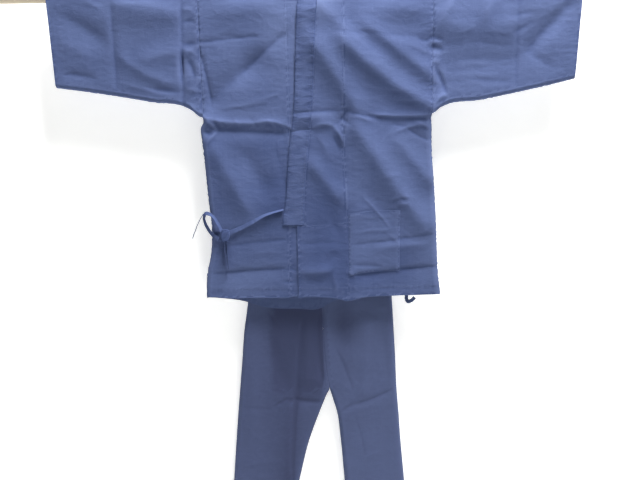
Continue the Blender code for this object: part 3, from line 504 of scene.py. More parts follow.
def field(x, z, seed, shortest, longest, stretch=1.0, count=28):
    """An uneven field with a spread of about 1: many plane waves of random direction, length and start.

    stretch above 1 draws the waves out along x, below 1 along z.
    """
    rng = np.random.default_rng(seed)
    length = np.exp(rng.uniform(math.log(shortest), math.log(longest), count))
    turn = rng.uniform(0, 2 * math.pi, count)
    phase = rng.uniform(0, 2 * math.pi, count)
    total = np.zeros(np.broadcast(x, z).shape)
    for k in range(count):
        kx = 2 * math.pi / length[k] * math.cos(turn[k]) / stretch
        kz = 2 * math.pi / length[k] * math.sin(turn[k])
        total = total + np.sin(kx * x + kz * z + phase[k])
    return total * math.sqrt(2 / count)


def ripple(s, seed, length):
    """An uneven wave along a line, with lengths about the given one and a slowly changing strength."""
    rng = np.random.default_rng(seed)
    total = 0.0
    for factor in (0.72, 0.9, 1.13, 1.5, 2.1):
        total = total + np.sin(2 * math.pi * s / (length * factor) + rng.uniform(0, 2 * math.pi))
    swell = 0.65 + 0.35 * np.sin(2 * math.pi * s / (length * 9) + rng.uniform(0, 2 * math.pi))
    return total / 2.2 * swell


def puckered(x, z, seed, shortest, longest, stretch=2.2):
    """Puckers of sewn cloth, from about -0.4 to 0.6: rounded crests where a drawn-out field crosses zero."""
    return np.exp(-np.abs(field(x, z, seed, shortest, longest, stretch, 20)) * 1.6) - 0.45


def lined(x, z, rows):
    """Sum of all lines of a table at (x, z). The table is in thousandths.

    Each is its height times exp(-(sqrt(d^2 + crest^2) - crest) / width), d being the distance from its bent
    line and width its own on either side, faded at both ends.
    """
    total = np.zeros(np.broadcast(x, z).shape)
    for row in rows:
        c = dict(zip(CREASE_COLUMNS, np.array(row) / 1000))
        dx, dz = c["x1"] - c["x0"], c["z1"] - c["z0"]
        length = math.hypot(dx, dz)
        along = ((x - c["x0"]) * dx + (z - c["z0"]) * dz) / length
        t = along / length
        bent = 4 * c["bend"] * np.clip(t * (1 - t), -0.3, 0.25)
        across = ((z - c["z0"]) * dx - (x - c["x0"]) * dz) / length - bent
        width = np.where(across > 0, c["above"], c["below"])
        fall = np.exp(-(np.sqrt(across**2 + c["crest"]**2) - c["crest"]) / width)
        end = min(max(0.035, min(0.060, 1.6 * (c["above"] + c["below"]))), 0.4 * length)
        fade = ease(t * length, -0.3 * end, end) * (1 - ease(t * length, length - end, length + 0.3 * end))
        total = total + c["height"] * fall * fade
    return total


def creased(x, z, rows):
    """Height of all creases at (x, z)."""
    return lined(x, z, rows) * sizes().creases


def crumple(x, z, seed):
    """Small wrinkles of worn cotton: broad unevenness, and ridges where a finer field passes through zero."""
    broad = field(x, z, seed, 0.07, 0.20, 1.3) * 0.9
    fine = np.exp(-np.abs(field(x, z, seed + 1, 0.022, 0.060, 1.8)) * 2.2) - 0.4
    return (broad + fine) * sizes().crumple


def hang_depth(z):
    """Half the depth of the jacket at a height below the rod, closing a little to the hem."""
    return FALL_RADIUS + (HEM_HALF_DEPTH - FALL_RADIUS) * ease(-z, 0.0, DROP)


def standing(x):
    """0 at the middle of the front, where cloth stands up above the rod's axis; 1 where it wraps the rod."""
    return ease(np.abs(x), 0.036, 0.068)


def overlap_lift(x, rise):
    """How far the upper front lies above the lower one."""
    fade = ease(rise, 0.004, 0.020) * standing(x)
    return OVERLAP_LIFT * (1 - ease(x, OVERLAP_FLAT, OVERLAP_END)) * (1 - fade)


def seam_lines(x, z, face):
    """Puckers and valleys beside the sleeve seams, which both pieces at a seam share."""
    total = 0.0
    for seed, seam in enumerate(ARMHOLE_X.values(), 47 if face > 0 else 40):
        away = np.abs(x - seam)
        valley = -0.0010 * np.exp(-away / 0.0022)
        wave = 0.0016 * puckered(x, z, seed, 0.010, 0.028) * np.exp(-away / 0.012)
        ends = ease(-z, 0.0, 0.02) * (1 - ease(-z, 0.300, 0.312))
        total = total + (valley + wave * sizes().puckers) * ends
    return total


def seam_puckers(x, z, seam, seed):
    """Puckers along an upright seam, fading away on both of its sides."""
    fade = np.exp(-np.abs(x - seam) / 0.011)
    return 0.0011 * puckered(x, z, seed, 0.009, 0.026) * fade * sizes().puckers


def hem_relief(x, rise, seed):
    """The turned hem: a step down at its stitched line, below which the cloth is doubled, with puckers."""
    step = HEM_STEP * (1 - ease(-rise, HEM_LINE - 0.002, HEM_LINE + 0.002)) - HEM_STEP
    return step + 0.0003 * ripple(x, seed, 0.012) * np.exp(-np.abs(rise + HEM_LINE) / 0.006) * sizes().puckers


def front_relief(x, z):
    """Everything that raises the front, for all its layers alike."""
    okumi = column(OUTLINE, "okumi_seam", z)
    pull = 0.20 + 1.1 * np.exp(-((z + 0.325) / 0.035) ** 2) + 0.8 * np.exp(-((z + 0.700) / 0.030) ** 2)
    seams = seam_lines(x, z, -1) + seam_puckers(x, z, okumi, 61) * pull
    return (creased(x, z, FRONT_CREASES) + crumple(x, z, 11) + seams) * ease(-z, 0.0, 0.025)


def back_relief(x, z):
    """Everything that raises the back, with puckers at its centre seam; it stays inside the solid's face."""
    seams = seam_lines(x, z, 1) + seam_puckers(x, z, 0.0, 71)
    return (creased(x, z, BACK_CREASES) + crumple(x, z, 23) + seams) * ease(-z, 0.0, 0.025)


def over_rod(x, rise, lift, face, own=0.0):
    """A point of cloth hung over the rod.

    rise is the height along the cloth: z below the rod's middle, and arc length round the rod above it. The
    depth is the hanging depth plus the lift and the relief; above the middle it turns with the rod.
    """
    x, rise = np.broadcast_arrays(np.asarray(x, dtype=float), np.asarray(rise, dtype=float))
    height = (front_relief(x, rise) if face < 0 else back_relief(x, rise)) + own
    above = np.clip(rise, 0.0, QUARTER)
    wrap = standing(x) if face < 0 else 1.0
    depth = hang_depth(np.minimum(rise, 0.0)) + lift + height
    y = face * depth * np.cos(above / FALL_RADIUS * wrap)
    z_wrapped = (FALL_RADIUS + lift) * np.sin(above / FALL_RADIUS)
    z = np.where(rise > 0, z_wrapped * wrap + above * (1 - wrap), rise)
    return np.stack([x, y, z], axis=-1)


def spaced(start, end, step, edge=0.0):
    """Values from start to end about a step apart, with three closer ones at each end where edge is given."""
    count = max(2, int(round(abs(end - start) / step)) + 1)
    values = np.linspace(start, end, count)
    if edge:
        sign = math.copysign(1.0, end - start)
        near = start + sign * np.array((0.15, 0.4, 0.75)) * edge
        far = end - sign * np.array((0.75, 0.4, 0.15)) * edge
        middle = values[(np.abs(values - start) > edge) & (np.abs(values - end) > edge)]
        values = np.concatenate([[start], near, middle, far, [end]])
    return values


def unit(vectors):
    """Vectors at length 1."""
    return vectors / np.maximum(np.linalg.norm(vectors, axis=-1, keepdims=True), 1e-12)


def run_length(points):
    """Distance of each point of a line from its first one, along the line."""
    return np.concatenate([[0], np.cumsum(np.linalg.norm(np.diff(points, axis=0), axis=1))])


def between(places, keys, values):
    """Rows of values at places between their keys, by straight lines."""
    return np.stack([np.interp(places, keys, values[:, k]) for k in range(values.shape[1])], 1)


def both_ways(*parts):
    """Shares round a folded piece: the given ones up to its fold at 0.5, then the same ones mirrored."""
    half = np.concatenate(parts)
    return np.concatenate([half, [0.49999, 0.50001], 1 - half[::-1]])


def grid_faces(rows, cols, offset=0, flip=False):
    """Quads between the points of a grid that is numbered row by row."""
    number = np.arange(rows * cols).reshape(rows, cols) + offset
    quads = np.stack([number[:-1, :-1], number[:-1, 1:], number[1:, 1:], number[1:, :-1]], axis=-1)
    quads = quads.reshape(-1, 4)
    return quads[:, ::-1] if flip else quads


def grid_normals(points):
    """Normals of a grid: the cross product of its two directions."""
    return unit(np.cross(np.gradient(points, axis=1), np.gradient(points, axis=0)))


def add_object(name, data):
    """A new object in the scene."""
    made = bpy.data.objects.new(name, data)
    bpy.context.scene.collection.objects.link(made)
    return made


def mend(mesh, merge=False):
    """Merge the points of a mesh that lie on each other, or else turn its faces outwards."""
    work = bmesh.new()
    work.from_mesh(mesh)
    if merge:
        bmesh.ops.remove_doubles(work, verts=work.verts, dist=0.00001)
    else:
        bmesh.ops.recalc_face_normals(work, faces=work.faces)
    work.to_mesh(mesh)
    work.free()
    mesh.update()


def put_mesh(name, vertices, faces, values, uv, surface):
    """One object from arrays of points, quads, point attributes and a UV place for every point."""
    mesh = bpy.data.meshes.new(name)
    mesh.from_pydata(vertices.reshape(-1, 3).tolist(), [], faces.tolist())
    for key, value in values.items():
        layer = mesh.attributes.new(key, "FLOAT", "POINT")
        layer.data.foreach_set("value", np.ascontiguousarray(value, dtype=np.float32).ravel())
    corners = np.zeros(len(mesh.loops), dtype=np.int32)
    mesh.loops.foreach_get("vertex_index", corners)
    layer = mesh.uv_layers.new(name="cut")
    layer.data.foreach_set("uv", uv.reshape(-1, 2)[corners].astype(np.float32).ravel())
    mesh.materials.append(surface)
    mesh.shade_smooth()
    mesh.set_sharp_from_angle(angle=math.radians(55))
    mesh.validate()
    return add_object(name, mesh)


def add_shell(name, outer, uv, surface, thickness, behind, wear_and_painted_light=None):
    """A cloth shell: the grid as its outer face, the same grid moved in along its normals, and a round rim.

    behind is the y of a plane that the cloth's inner side faces; the faces are turned by it.
    """
    rows, cols = outer.shape[:2]
    normal = grid_normals(outer)
    facing = np.sum(normal[..., 1] * (outer[..., 1] - behind))
    if facing < 0:
        normal = -normal
    inner = outer - normal * thickness
    ring = np.concatenate([
        np.stack([np.zeros(cols, int), np.arange(cols)], 1),
        np.stack([np.arange(1, rows), np.full(rows - 1, cols - 1)], 1),
        np.stack([np.full(cols - 1, rows - 1), np.arange(cols - 2, -1, -1)], 1),
        np.stack([np.arange(rows - 2, 0, -1), np.zeros(rows - 2, int)], 1)])
    inside = np.clip(ring, 1, (rows - 2, cols - 2))
    edge = outer[ring[:, 0], ring[:, 1]]
    within = outer[inside[:, 0], inside[:, 1]]
    middle = (edge + inner[ring[:, 0], ring[:, 1]]) / 2 + unit(edge - within) * thickness * 0.26
    count = rows * cols
    number = ring[:, 0] * cols + ring[:, 1]
    order = slice(None, None, -1 if facing < 0 else 1)
    following = np.roll(number, -1)
    rim = np.arange(len(ring)) + 2 * count
    rim_next = np.roll(rim, -1)
    faces = np.concatenate([
        grid_faces(rows, cols, 0, facing < 0),
        grid_faces(rows, cols, count, facing >= 0),
        np.stack([following, number, rim, rim_next], 1)[:, order],
        np.stack([rim_next, rim, number + count, following + count], 1)[:, order]])
    vertices = np.concatenate([outer.reshape(-1, 3), inner.reshape(-1, 3), middle])
    flat_uv = uv.reshape(-1, 2)
    flat_wear_and_painted_light = (edge_wear(outer) if wear_and_painted_light is None else wear_and_painted_light).ravel()
    values = {"wear_and_painted_light": np.concatenate([flat_wear_and_painted_light, flat_wear_and_painted_light * 0.3, flat_wear_and_painted_light[number]])}
    all_uv = np.concatenate([flat_uv, flat_uv, flat_uv[number]])
    return put_mesh(name, vertices, faces, values, all_uv, surface)


def edge_wear(points):
    """Where the cloth is paled: on crests, from how far a point stands above its neighbours' mean."""
    padded = np.pad(points, ((2, 2), (2, 2), (0, 0)), mode="edge")
    mean = (padded[:-4, 2:-2] + padded[4:, 2:-2] + padded[2:-2, :-4] + padded[2:-2, 4:]) / 4
    stands = np.linalg.norm(points - mean, axis=-1) * np.sign(np.sum((points - mean) * (0, -1, 0), axis=-1))
    stands[:2], stands[-2:], stands[:, :2], stands[:, -2:] = 0, 0, 0, 0
    return np.clip(stands / CREST_HEIGHT, -1.0, 1.0)


def socket(group, name, kind, default=None, out=False):
    """One socket of a node group."""
    made = group.interface.new_socket(name=name, in_out="OUTPUT" if out else "INPUT", socket_type=kind)
    if default is not None:
        made.default_value = default


def feed(tree, made, inputs):
    """Give a node its inputs by name or number: a socket is linked, anything else is set as the value."""
    for place, value in inputs.items():
        if isinstance(value, bpy.types.NodeSocket):
            tree.links.new(value, made.inputs[place])
        else:
            made.inputs[place].default_value = value


def node(tree, kind, inputs=None, **settings):
    """One node with its settings and its inputs."""
    made = tree.nodes.new(kind)
    for key, value in settings.items():
        setattr(made, key, value)
    feed(tree, made, inputs or {})
    return made


def calculate(tree, operation, *values, clamp=False):
    """The result of one math node on sockets or numbers."""
    made = node(tree, "ShaderNodeMath", dict(enumerate(values)), operation=operation, use_clamp=clamp)
    return made.outputs[0]


def drawn_noise(tree, source, scale, detail, roughness=0.5, distortion=0.0):
    """Noise on coordinates with a scale of its own for each axis."""
    mapping = node(tree, "ShaderNodeMapping", {"Vector": source, "Scale": scale})
    noise = node(tree, "ShaderNodeTexNoise", {
        "Vector": mapping.outputs[0], "Scale": 1.0, "Detail": detail, "Roughness": roughness,
        "Distortion": distortion})
    return noise.outputs["Fac"]


def mix_colours(tree, share, first, second):
    """A mix of two colours by a share of the second."""
    inputs = {"Factor": share, "A": (*first, 1.0), "B": (*second, 1.0)}
    return node(tree, "ShaderNodeMix", inputs, data_type="RGBA").outputs["Result"]


def bumped(tree, height, strength, distance, **below):
    """The normal of a bump, on top of another normal where one is given."""
    inputs = {"Height": height, "Strength": strength, "Distance": distance, **below}
    return node(tree, "ShaderNodeBump", inputs).outputs["Normal"]


def weave_group():
    """Plain weave: sin(pi n u) of n threads per metre along each axis, multiplied, and slubs along them."""
    if "plain weave" in bpy.data.node_groups:
        return bpy.data.node_groups["plain weave"]
    group = bpy.data.node_groups.new("plain weave", "ShaderNodeTree")
    socket(group, "Cut", "NodeSocketVector")
    socket(group, "Threads per metre", "NodeSocketFloat", 1500.0)
    socket(group, "Height", "NodeSocketFloat", out=True)
    socket(group, "Slub", "NodeSocketFloat", out=True)
    source = node(group, "NodeGroupInput").outputs
    scaled = node(group, "ShaderNodeVectorMath", {0: source["Cut"], "Scale": source["Threads per metre"]},
                  operation="SCALE")
    axes = node(group, "ShaderNodeSeparateXYZ", {0: scaled.outputs[0]}).outputs
    waves = [calculate(group, "SINE", calculate(group, "MULTIPLY", axes[key], math.pi)) for key in ("X", "Y")]
    raised = calculate(group, "MULTIPLY_ADD", calculate(group, "MULTIPLY", *waves), 0.5, 0.5)
    slubs = [drawn_noise(group, source["Cut"], scale, 3.0, 0.6) for scale in ((3, 210, 1), (230, 4, 1))]
    mean = calculate(group, "MULTIPLY", calculate(group, "ADD", *slubs), 0.5)
    node(group, "NodeGroupOutput", {"Height": raised, "Slub": mean})
    return group


def new_material(name):
    """A new material and its node tree."""
    made = bpy.data.materials.new(name)
    made.use_nodes = True
    return made, made.node_tree


def cloth_material(name, base, faded, crinkle):
    """Washed cotton: slubs, cloudy fading and painted light and shade in the colour, paler on crests, weave
    and wrinkles as bumps.
    """
    if name in bpy.data.materials:
        return bpy.data.materials[name]
    made, tree = new_material(name)
    place = node(tree, "ShaderNodeTexCoord").outputs
    weave = node(tree, "ShaderNodeGroup", {"Cut": place["UV"]}, node_tree=weave_group())
    cloud = node(tree, "ShaderNodeTexNoise", {
        "Vector": place["Object"], "Scale": 9.0, "Detail": 6.0, "Roughness": 0.55})
    wear_and_painted_light = node(tree, "ShaderNodeAttribute", attribute_name="wear_and_painted_light")
    level = calculate(tree, "MULTIPLY_ADD", wear_and_painted_light.outputs["Fac"], 0.30, 0.25)
    level = calculate(tree, "MULTIPLY_ADD", weave.outputs["Slub"], 0.35, level)
    level = calculate(tree, "MULTIPLY_ADD", cloud.outputs["Fac"], 0.4, level)
    level = calculate(tree, "SUBTRACT", level, 0.24, clamp=True)
    wrinkle = drawn_noise(tree, place["Object"], (46.0, 60.0, 92.0), 5.0, 0.62, 0.6)
    wrinkled = bumped(tree, wrinkle, crinkle, 0.0018)
    feed(tree, tree.nodes["Principled BSDF"], {
        "Base Color": mix_colours(tree, level, base, faded),
        "Normal": bumped(tree, weave.outputs["Height"], 0.35, 0.00025, Normal=wrinkled),
        "Roughness": 0.86,
        "Sheen Weight": 0.07,
        "Sheen Roughness": 0.45,
        "Sheen Tint": (0.62, 0.70, 1.0, 1.0),
        "Specular IOR Level": 0.18})
    return made


def jacket_cloth():
    """The jacket's washed indigo cotton."""
    return cloth_material("jacket_cotton", colours().jacket, colours().faded, 0.55)


def trouser_cloth():
    """The trousers' darker cotton."""
    pale = tuple(0.55 * a + 0.45 * b for a, b in zip(colours().trousers, colours().faded))
    return cloth_material("trouser_cotton", colours().trousers, pale, 0.4)


def tie_cloth():
    """The ties' folded tape, whose pale colour is less pale than the jacket's."""
    pale = tuple(0.4 * a + 0.6 * b for a, b in zip(colours().jacket, colours().faded))
    return cloth_material("tie_tape", colours().jacket, pale, 0.5)


def wood_material():
    """Pale wood with long grain: noise drawn out along X, the rod's axis."""
    made, tree = new_material("rod_wood")
    place = node(tree, "ShaderNodeTexCoord").outputs["Object"]
    grain = drawn_noise(tree, place, (3.0, 90.0, 90.0), 8.0, 0.65)
    ramp = node(tree, "ShaderNodeValToRGB", {"Fac": grain})
    wood = colours().wood
    dark, pale = ramp.color_ramp.elements
    dark.position = 0.30
    dark.color = (wood[0] * 0.80, wood[1] * 0.77, wood[2] * 0.72, 1.0)
    pale.position = 0.72
    pale.color = (*wood, 1.0)
    feed(tree, tree.nodes["Principled BSDF"], {
        "Base Color": ramp.outputs["Color"],
        "Roughness": 0.55,
        "Normal": bumped(tree, grain, 0.25, 0.0005)})
    return made


def steel_material():
    """Brushed steel: fine noise drawn out along Z changes the roughness."""
    made, tree = new_material("hook_steel")
    place = node(tree, "ShaderNodeTexCoord").outputs["Object"]
    brushed = drawn_noise(tree, place, (900.0, 900.0, 12.0), 3.0)
    rough = node(tree, "ShaderNodeMapRange", {"Value": brushed, "To Min": 0.28, "To Max": 0.48})
    feed(tree, tree.nodes["Principled BSDF"], {
        "Base Color": (*colours().steel, 1.0),
        "Metallic": 1.0,
        "Roughness": rough.outputs["Result"],
        "Normal": bumped(tree, brushed, 0.12, 0.0002)})
    return made


def thread_material():
    """Twisted thread: a wave slanted across each stitch."""
    if "sewing_thread" in bpy.data.materials:
        return bpy.data.materials["sewing_thread"]
    made, tree = new_material("sewing_thread")
    place = node(tree, "ShaderNodeTexCoord").outputs["Object"]
    twist = node(tree, "ShaderNodeTexWave", {"Vector": place, "Scale": 900.0, "Distortion": 0.5},
                 bands_direction="DIAGONAL")
    thread = colours().thread
    mixed = mix_colours(tree, twist.outputs["Fac"], [c * 0.7 for c in thread], thread)
    feed(tree, tree.nodes["Principled BSDF"], {"Base Color": mixed, "Roughness": 0.6})
    return made


def body_path():
    """Places along a body panel, from the front hem over the rod to the back hem, in metres of cloth."""
    front = spaced(0.0, DROP, 0.0036, 0.004)
    arc = spaced(DROP, DROP + 2 * QUARTER, 0.0018)[1:-1]
    back = spaced(DROP + 2 * QUARTER, 2 * DROP + 2 * QUARTER, 0.0064, 0.004)
    return np.concatenate([front, arc, back])


def side_x(side, z):
    """x of the side edge: the armhole above the underarm, the garment's outline below it."""
    outline = column(OUTLINE, side + "_side", z)
    blend = ease(-z, -UNDERARM_END, -UNDERARM_END + 0.020)
    return ARMHOLE_X[side] * (1 - blend) + outline * blend


def body_points(side, s, u):
    """Points of a body panel for path places s (down the rows) and shares u across (0 the inner edge).

    The front and the back hang by over_rod. The last part across turns a quarter circle into the side seam.
    """
    sign = SIGN[side]
    total = 2 * DROP + 2 * QUARTER
    s, u = np.meshgrid(s, u, indexing="ij")
    front = s < DROP + QUARTER
    depth = np.clip(np.where(front, DROP - s, s - DROP - 2 * QUARTER), 0.0, DROP)
    arc = np.clip(np.where(front, s - DROP, total - DROP - s), 0.0, QUARTER)
    angle = np.degrees((s - DROP - QUARTER) / FALL_RADIUS)
    neck = column(NECKLINE, "x", np.minimum(angle, NECK_BACK_ANGLE))
    seam = np.where(front, column(OUTLINE, "okumi_seam", -depth) + SEAM_GAP, SEAM_GAP / 2)
    inner = np.where(depth > 0, seam, np.maximum(neck, SEAM_GAP / 2)) * sign
    edge = side_x(side, -depth)
    start = edge - sign * SIDE_TURN
    flat_share = np.abs(start - inner) / (np.abs(start - inner) + SIDE_TURN)
    t = np.clip((u - flat_share) / (1 - flat_share), 0.0, 1.0)
    x = inner + (start - inner) * np.minimum(u / flat_share, 1.0) + (edge - start) * t
    fall = np.where(front, column(HEM, "front", x), column(HEM, "back", x)) * depth / DROP
    rise = np.where(depth > 0, fall, arc)
    own = np.where(depth > 0, hem_relief(x, fall, 81), 0.0)
    points = np.empty(s.shape + (3,))
    for face, mask in ((-1, front), (1, ~front)):
        upper = overlap_lift(x[mask], rise[mask]) if side == "left" and face < 0 else 0.0
        points[mask] = over_rod(x[mask], rise[mask], HALF_CLOTH + upper, face, own[mask])
    face = np.where(front, -1.0, 1.0)
    turned = ease(depth, -UNDERARM_START, -UNDERARM_END) * (t > 0)
    bow = t * math.pi / 2
    serration = 0.0009 * ripple(points[..., 2], 91 if side == "left" else 92, 0.012) * np.sin(bow)
    folded_x = start + sign * (SIDE_TURN + HALF_CLOTH) * np.sin(bow) + sign * serration * sizes().puckers
    folded_y = face * SEAM_GAP / 2 + (points[..., 1] - face * SEAM_GAP / 2) * np.cos(bow) ** 0.6
    points[..., 0] = points[..., 0] * (1 - turned) + folded_x * turned
    points[..., 1] = points[..., 1] * (1 - turned) + folded_y * turned
    return points, x


def finish_piece(piece, nodes):
    """Hand a finished piece on: it rides on the root, and the solids that it stands for are hidden."""
    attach(piece, "root")
    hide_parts(*nodes)


def jacket_wear_and_painted_light(points):
    """Wear of the jacket's crests, and the light and shade painted on it.

    It is painted darker below the waist on the wearer's right and on the left chest: painted shade. Each soft
    patch of painted light or shade adds amount * exp(-((x - x0) / wide)^2 - ((z - z0) / high)^2).
    """
    x, z = points[..., 0], points[..., 2]
    low, left = ease(-z, 0.32, 0.37), ease(x, 0.05, 0.10)
    total = edge_wear(points) - 0.5 * low * (1 - left) - 0.35 * left * (1 - low)
    for x0, z0, wide, high, amount in JACKET_PAINTED_LIGHT_AND_SHADE:
        total = total + amount * np.exp(-((x - x0) / wide) ** 2 - ((z - z0) / high) ** 2)
    return total


class SamueBody(bpy.types.Operator):
    """The two body panels, each one piece from the front hem over the shoulder to the back hem."""

    bl_idname = "samue.body"
    bl_label = "Body panels"

    def execute(self, context):
        for side in ("left", "right"):
            path = body_path()
            share = spaced(0.0, 1.0, 0.0118, 0.012)
            points, x = body_points(side, path, share)
            uv = np.stack([x, np.broadcast_to(path[:, None], x.shape)], axis=-1)
            # Crest wear, and the light and shade painted on the jacket.
            wear_and_painted_light = jacket_wear_and_painted_light(points)
            piece = add_shell("cloth_body_" + side, points, uv, jacket_cloth(), sizes().cloth, 0.0, wear_and_painted_light)
            finish_piece(piece, ["body_" + side])
        return {"FINISHED"}


def sleeve_points(side, s, share):
    """Points of a sleeve for places s round it (0 at the underarm seam) and shares across from the armhole.

    Round: a quarter turn up from the seam, the front fall, the rod, the back fall, and a quarter turn back.
    """
    sign = SIGN[side]
    turn, fall = SLEEVE_TURN_SHARE, SLEEVE_FALL_SHARE
    s, share = np.meshgrid(s, share, indexing="ij")
    front = s < 0.5
    near = np.where(front, s, 1.0 - s)
    bow = (1 - np.clip(near / turn, 0, 1)) * math.pi / 2
    drop = 1 - np.clip((near - turn) / fall, 0, 1)
    arc = np.clip((near - turn - fall) / (0.5 - turn - fall), 0, 1) * QUARTER
    cuff = CUFF_TOP[side] + CUFF_LEAN[side] * drop
    start = ARMHOLE_X[side] + sign * SEAM_GAP
    x = start + (cuff - start) * share
    under = column(SLEEVE, side, np.abs(x)) + SLEEVE_TURN + HALF_CLOTH
    rise = np.where(arc > 0, arc, under * drop)
    hem = 0.0005 * ripple(rise, 101, 0.012) * np.exp(-np.abs(np.abs(x - cuff) - CUFF_HEM) / 0.006)
    own = hem * sizes().puckers * (arc <= 0) * (bow <= 0)
    points = np.empty(s.shape + (3,))
    for face, mask in ((-1, front), (1, ~front)):
        points[mask] = over_rod(x[mask], rise[mask], HALF_CLOTH, face, own[mask])
    face = np.where(front, -1.0, 1.0)
    seam_y = face * SEAM_GAP / 2
    lower = bow > 0
    points[..., 1] = np.where(lower, seam_y + (points[..., 1] - seam_y) * np.cos(bow) ** 0.5, points[..., 1])
    sag = 0.0006 * ripple(x, 111, 0.016) * np.sin(bow) * sizes().puckers
    points[..., 2] = np.where(lower, under - (SLEEVE_TURN + HALF_CLOTH) * np.sin(bow) + sag, points[..., 2])
    return points, x


class SamueSleeves(bpy.types.Operator):
    """The two straight sleeves, folded over the rod and open at the cuffs."""

    bl_idname = "samue.sleeves"
    bl_label = "Sleeves"

    def execute(self, context):
        for side in ("left", "right"):
            top = SLEEVE_TURN_SHARE + SLEEVE_FALL_SHARE
            turn = spaced(0.0, SLEEVE_TURN_SHARE, 0.006)
            front = spaced(SLEEVE_TURN_SHARE, top, 0.0068)[1:]
            around = both_ways(turn, front, spaced(top, 0.5, 0.005)[1:-1])
            share = spaced(0.0, 1.0, 0.0096, 0.010)
            points, x = sleeve_points(side, around, share)
            length = np.cumsum(np.linalg.norm(np.diff(points, axis=0, prepend=points[:1]), axis=-1), axis=0)
            uv = np.stack([x, length], axis=-1)
            # Paler along the folded lower edges: painted light against the shade of the turn, and wear of the
            # fold.
            fold = ease(-np.minimum(around, 1 - around), -0.05, 0.0)[:, None]
            wear_and_painted_light = edge_wear(points) + 1.8 * fold
            piece = add_shell("cloth_sleeve_" + side, points, uv, jacket_cloth(), sizes().cloth, 0.0, wear_and_painted_light)
            finish_piece(piece, ["sleeve_" + side])
        return {"FINISHED"}


def okumi_points(side, v, u):
    """Points of an overlap panel: v from 0 at the hem to 1 at the neck, u from its free edge to its seam."""
    sign = SIGN[side]
    top = np.array(OKUMI_TOP[1:])
    v, u = np.meshgrid(v, u, indexing="ij")
    z = -DROP + (DROP + BAND_TOP) * np.clip(v / OKUMI_NECK_SHARE, 0, 1)
    seam = column(OUTLINE, "okumi_seam", z)
    edge = column(OUTLINE, "band_seam", z) + SEAM_GAP
    edge = np.where(z < BAND_BOTTOM - 0.0005, FREE_EDGE, edge)
    above = np.clip((v - OKUMI_NECK_SHARE) / (1 - OKUMI_NECK_SHARE), 0, 1) * (len(top) - 1)
    rows = np.arange(len(top))
    high = {name: np.interp(above, rows, top[:, k]) for k, name in enumerate(OKUMI_TOP[0])}
    upper = v > OKUMI_NECK_SHARE
    edge = np.where(upper, high["x_edge"], edge)
    seam = np.where(upper, high["x_seam"], seam)
    rise = np.where(upper, high["rise_edge"] + (high["rise_seam"] - high["rise_edge"]) * u, z)
    x = sign * (edge + (seam - edge) * u)
    hem = column(HEM, "front", x) if side == "left" else INNER_HEM
    rise = rise + (hem + DROP) * ease(-rise, 0.60, DROP)
    layer = HALF_CLOTH + (overlap_lift(np.abs(x), rise) if side == "left" else 0.0)
    return over_rod(x, rise, layer, -1, hem_relief(x, rise, 121)), x, rise


class SamueOverlaps(bpy.types.Operator):
    """The overlap panels: the left one on top, the right one below it."""

    bl_idname = "samue.overlaps"
    bl_label = "Overlap panels"

    def execute(self, context):
        for side in ("left", "right"):
            step = (DROP + BAND_BOTTOM) / (DROP + BAND_TOP) * OKUMI_NECK_SHARE
            below = spaced(0.0, step - 0.0006, 0.0044, 0.004)
            beside = spaced(step + 0.0006, OKUMI_NECK_SHARE, 0.0046)
            v = np.concatenate([below, beside, spaced(OKUMI_NECK_SHARE, 1.0, 0.003)[1:]])
            u = spaced(0.0, 1.0, 0.028, 0.03)
            points, x, rise = okumi_points(side, v, u)
            uv = np.stack([x, rise], axis=-1)
            piece = add_shell("cloth_okumi_" + side, points, uv, jacket_cloth(), sizes().cloth, FAR_BEHIND,
                              jacket_wear_and_painted_light(points))
            finish_piece(piece, ["okumi_" + side])
        return {"FINISHED"}


def band_lines():
    """The band's seam edge and free edge, up the upper front, round the neck and down the lower front."""
    seams, frees = [], []
    for side in ("left", "right"):
        sign = SIGN[side]
        base = OVERLAP_LIFT if side == "left" else 0.0
        heights = np.concatenate([[BAND_BOTTOM], np.arange(-0.58, BAND_TOP - 0.004, 0.01), [BAND_TOP]])
        seam_x = sign * column(OUTLINE, "band_seam", heights)
        free_x = sign * column(OUTLINE, "band_edge", heights)
        depth = hang_depth(heights) + base + (BAND - CLOTH) / 2
        neck = np.array(NECK[1:]) * (sign, 1, 1, sign, 1, 1)
        if side == "right":
            front = 1 - ease(np.arange(len(neck)), NECK_FRONT_ROWS - 1, NECK_FRONT_ROWS + 1)
            neck[:, 1] += OVERLAP_LIFT * front
            neck[:, 4] += OVERLAP_LIFT * front
        seams.append(np.concatenate([np.stack([seam_x, -depth, heights], 1), neck[:, :3]]))
        frees.append(np.concatenate([np.stack([free_x, -depth, heights], 1), neck[:, 3:]]))
    return [np.concatenate([line[0], line[1][-2::-1]]) for line in (seams, frees)]


def along_line(points, step):
    """Even places along a line through points, smoothed by cubic pieces between them."""
    reach = run_length(points)
    wanted = spaced(0.0, reach[-1], step)
    return cubic(reach, points, wanted), wanted


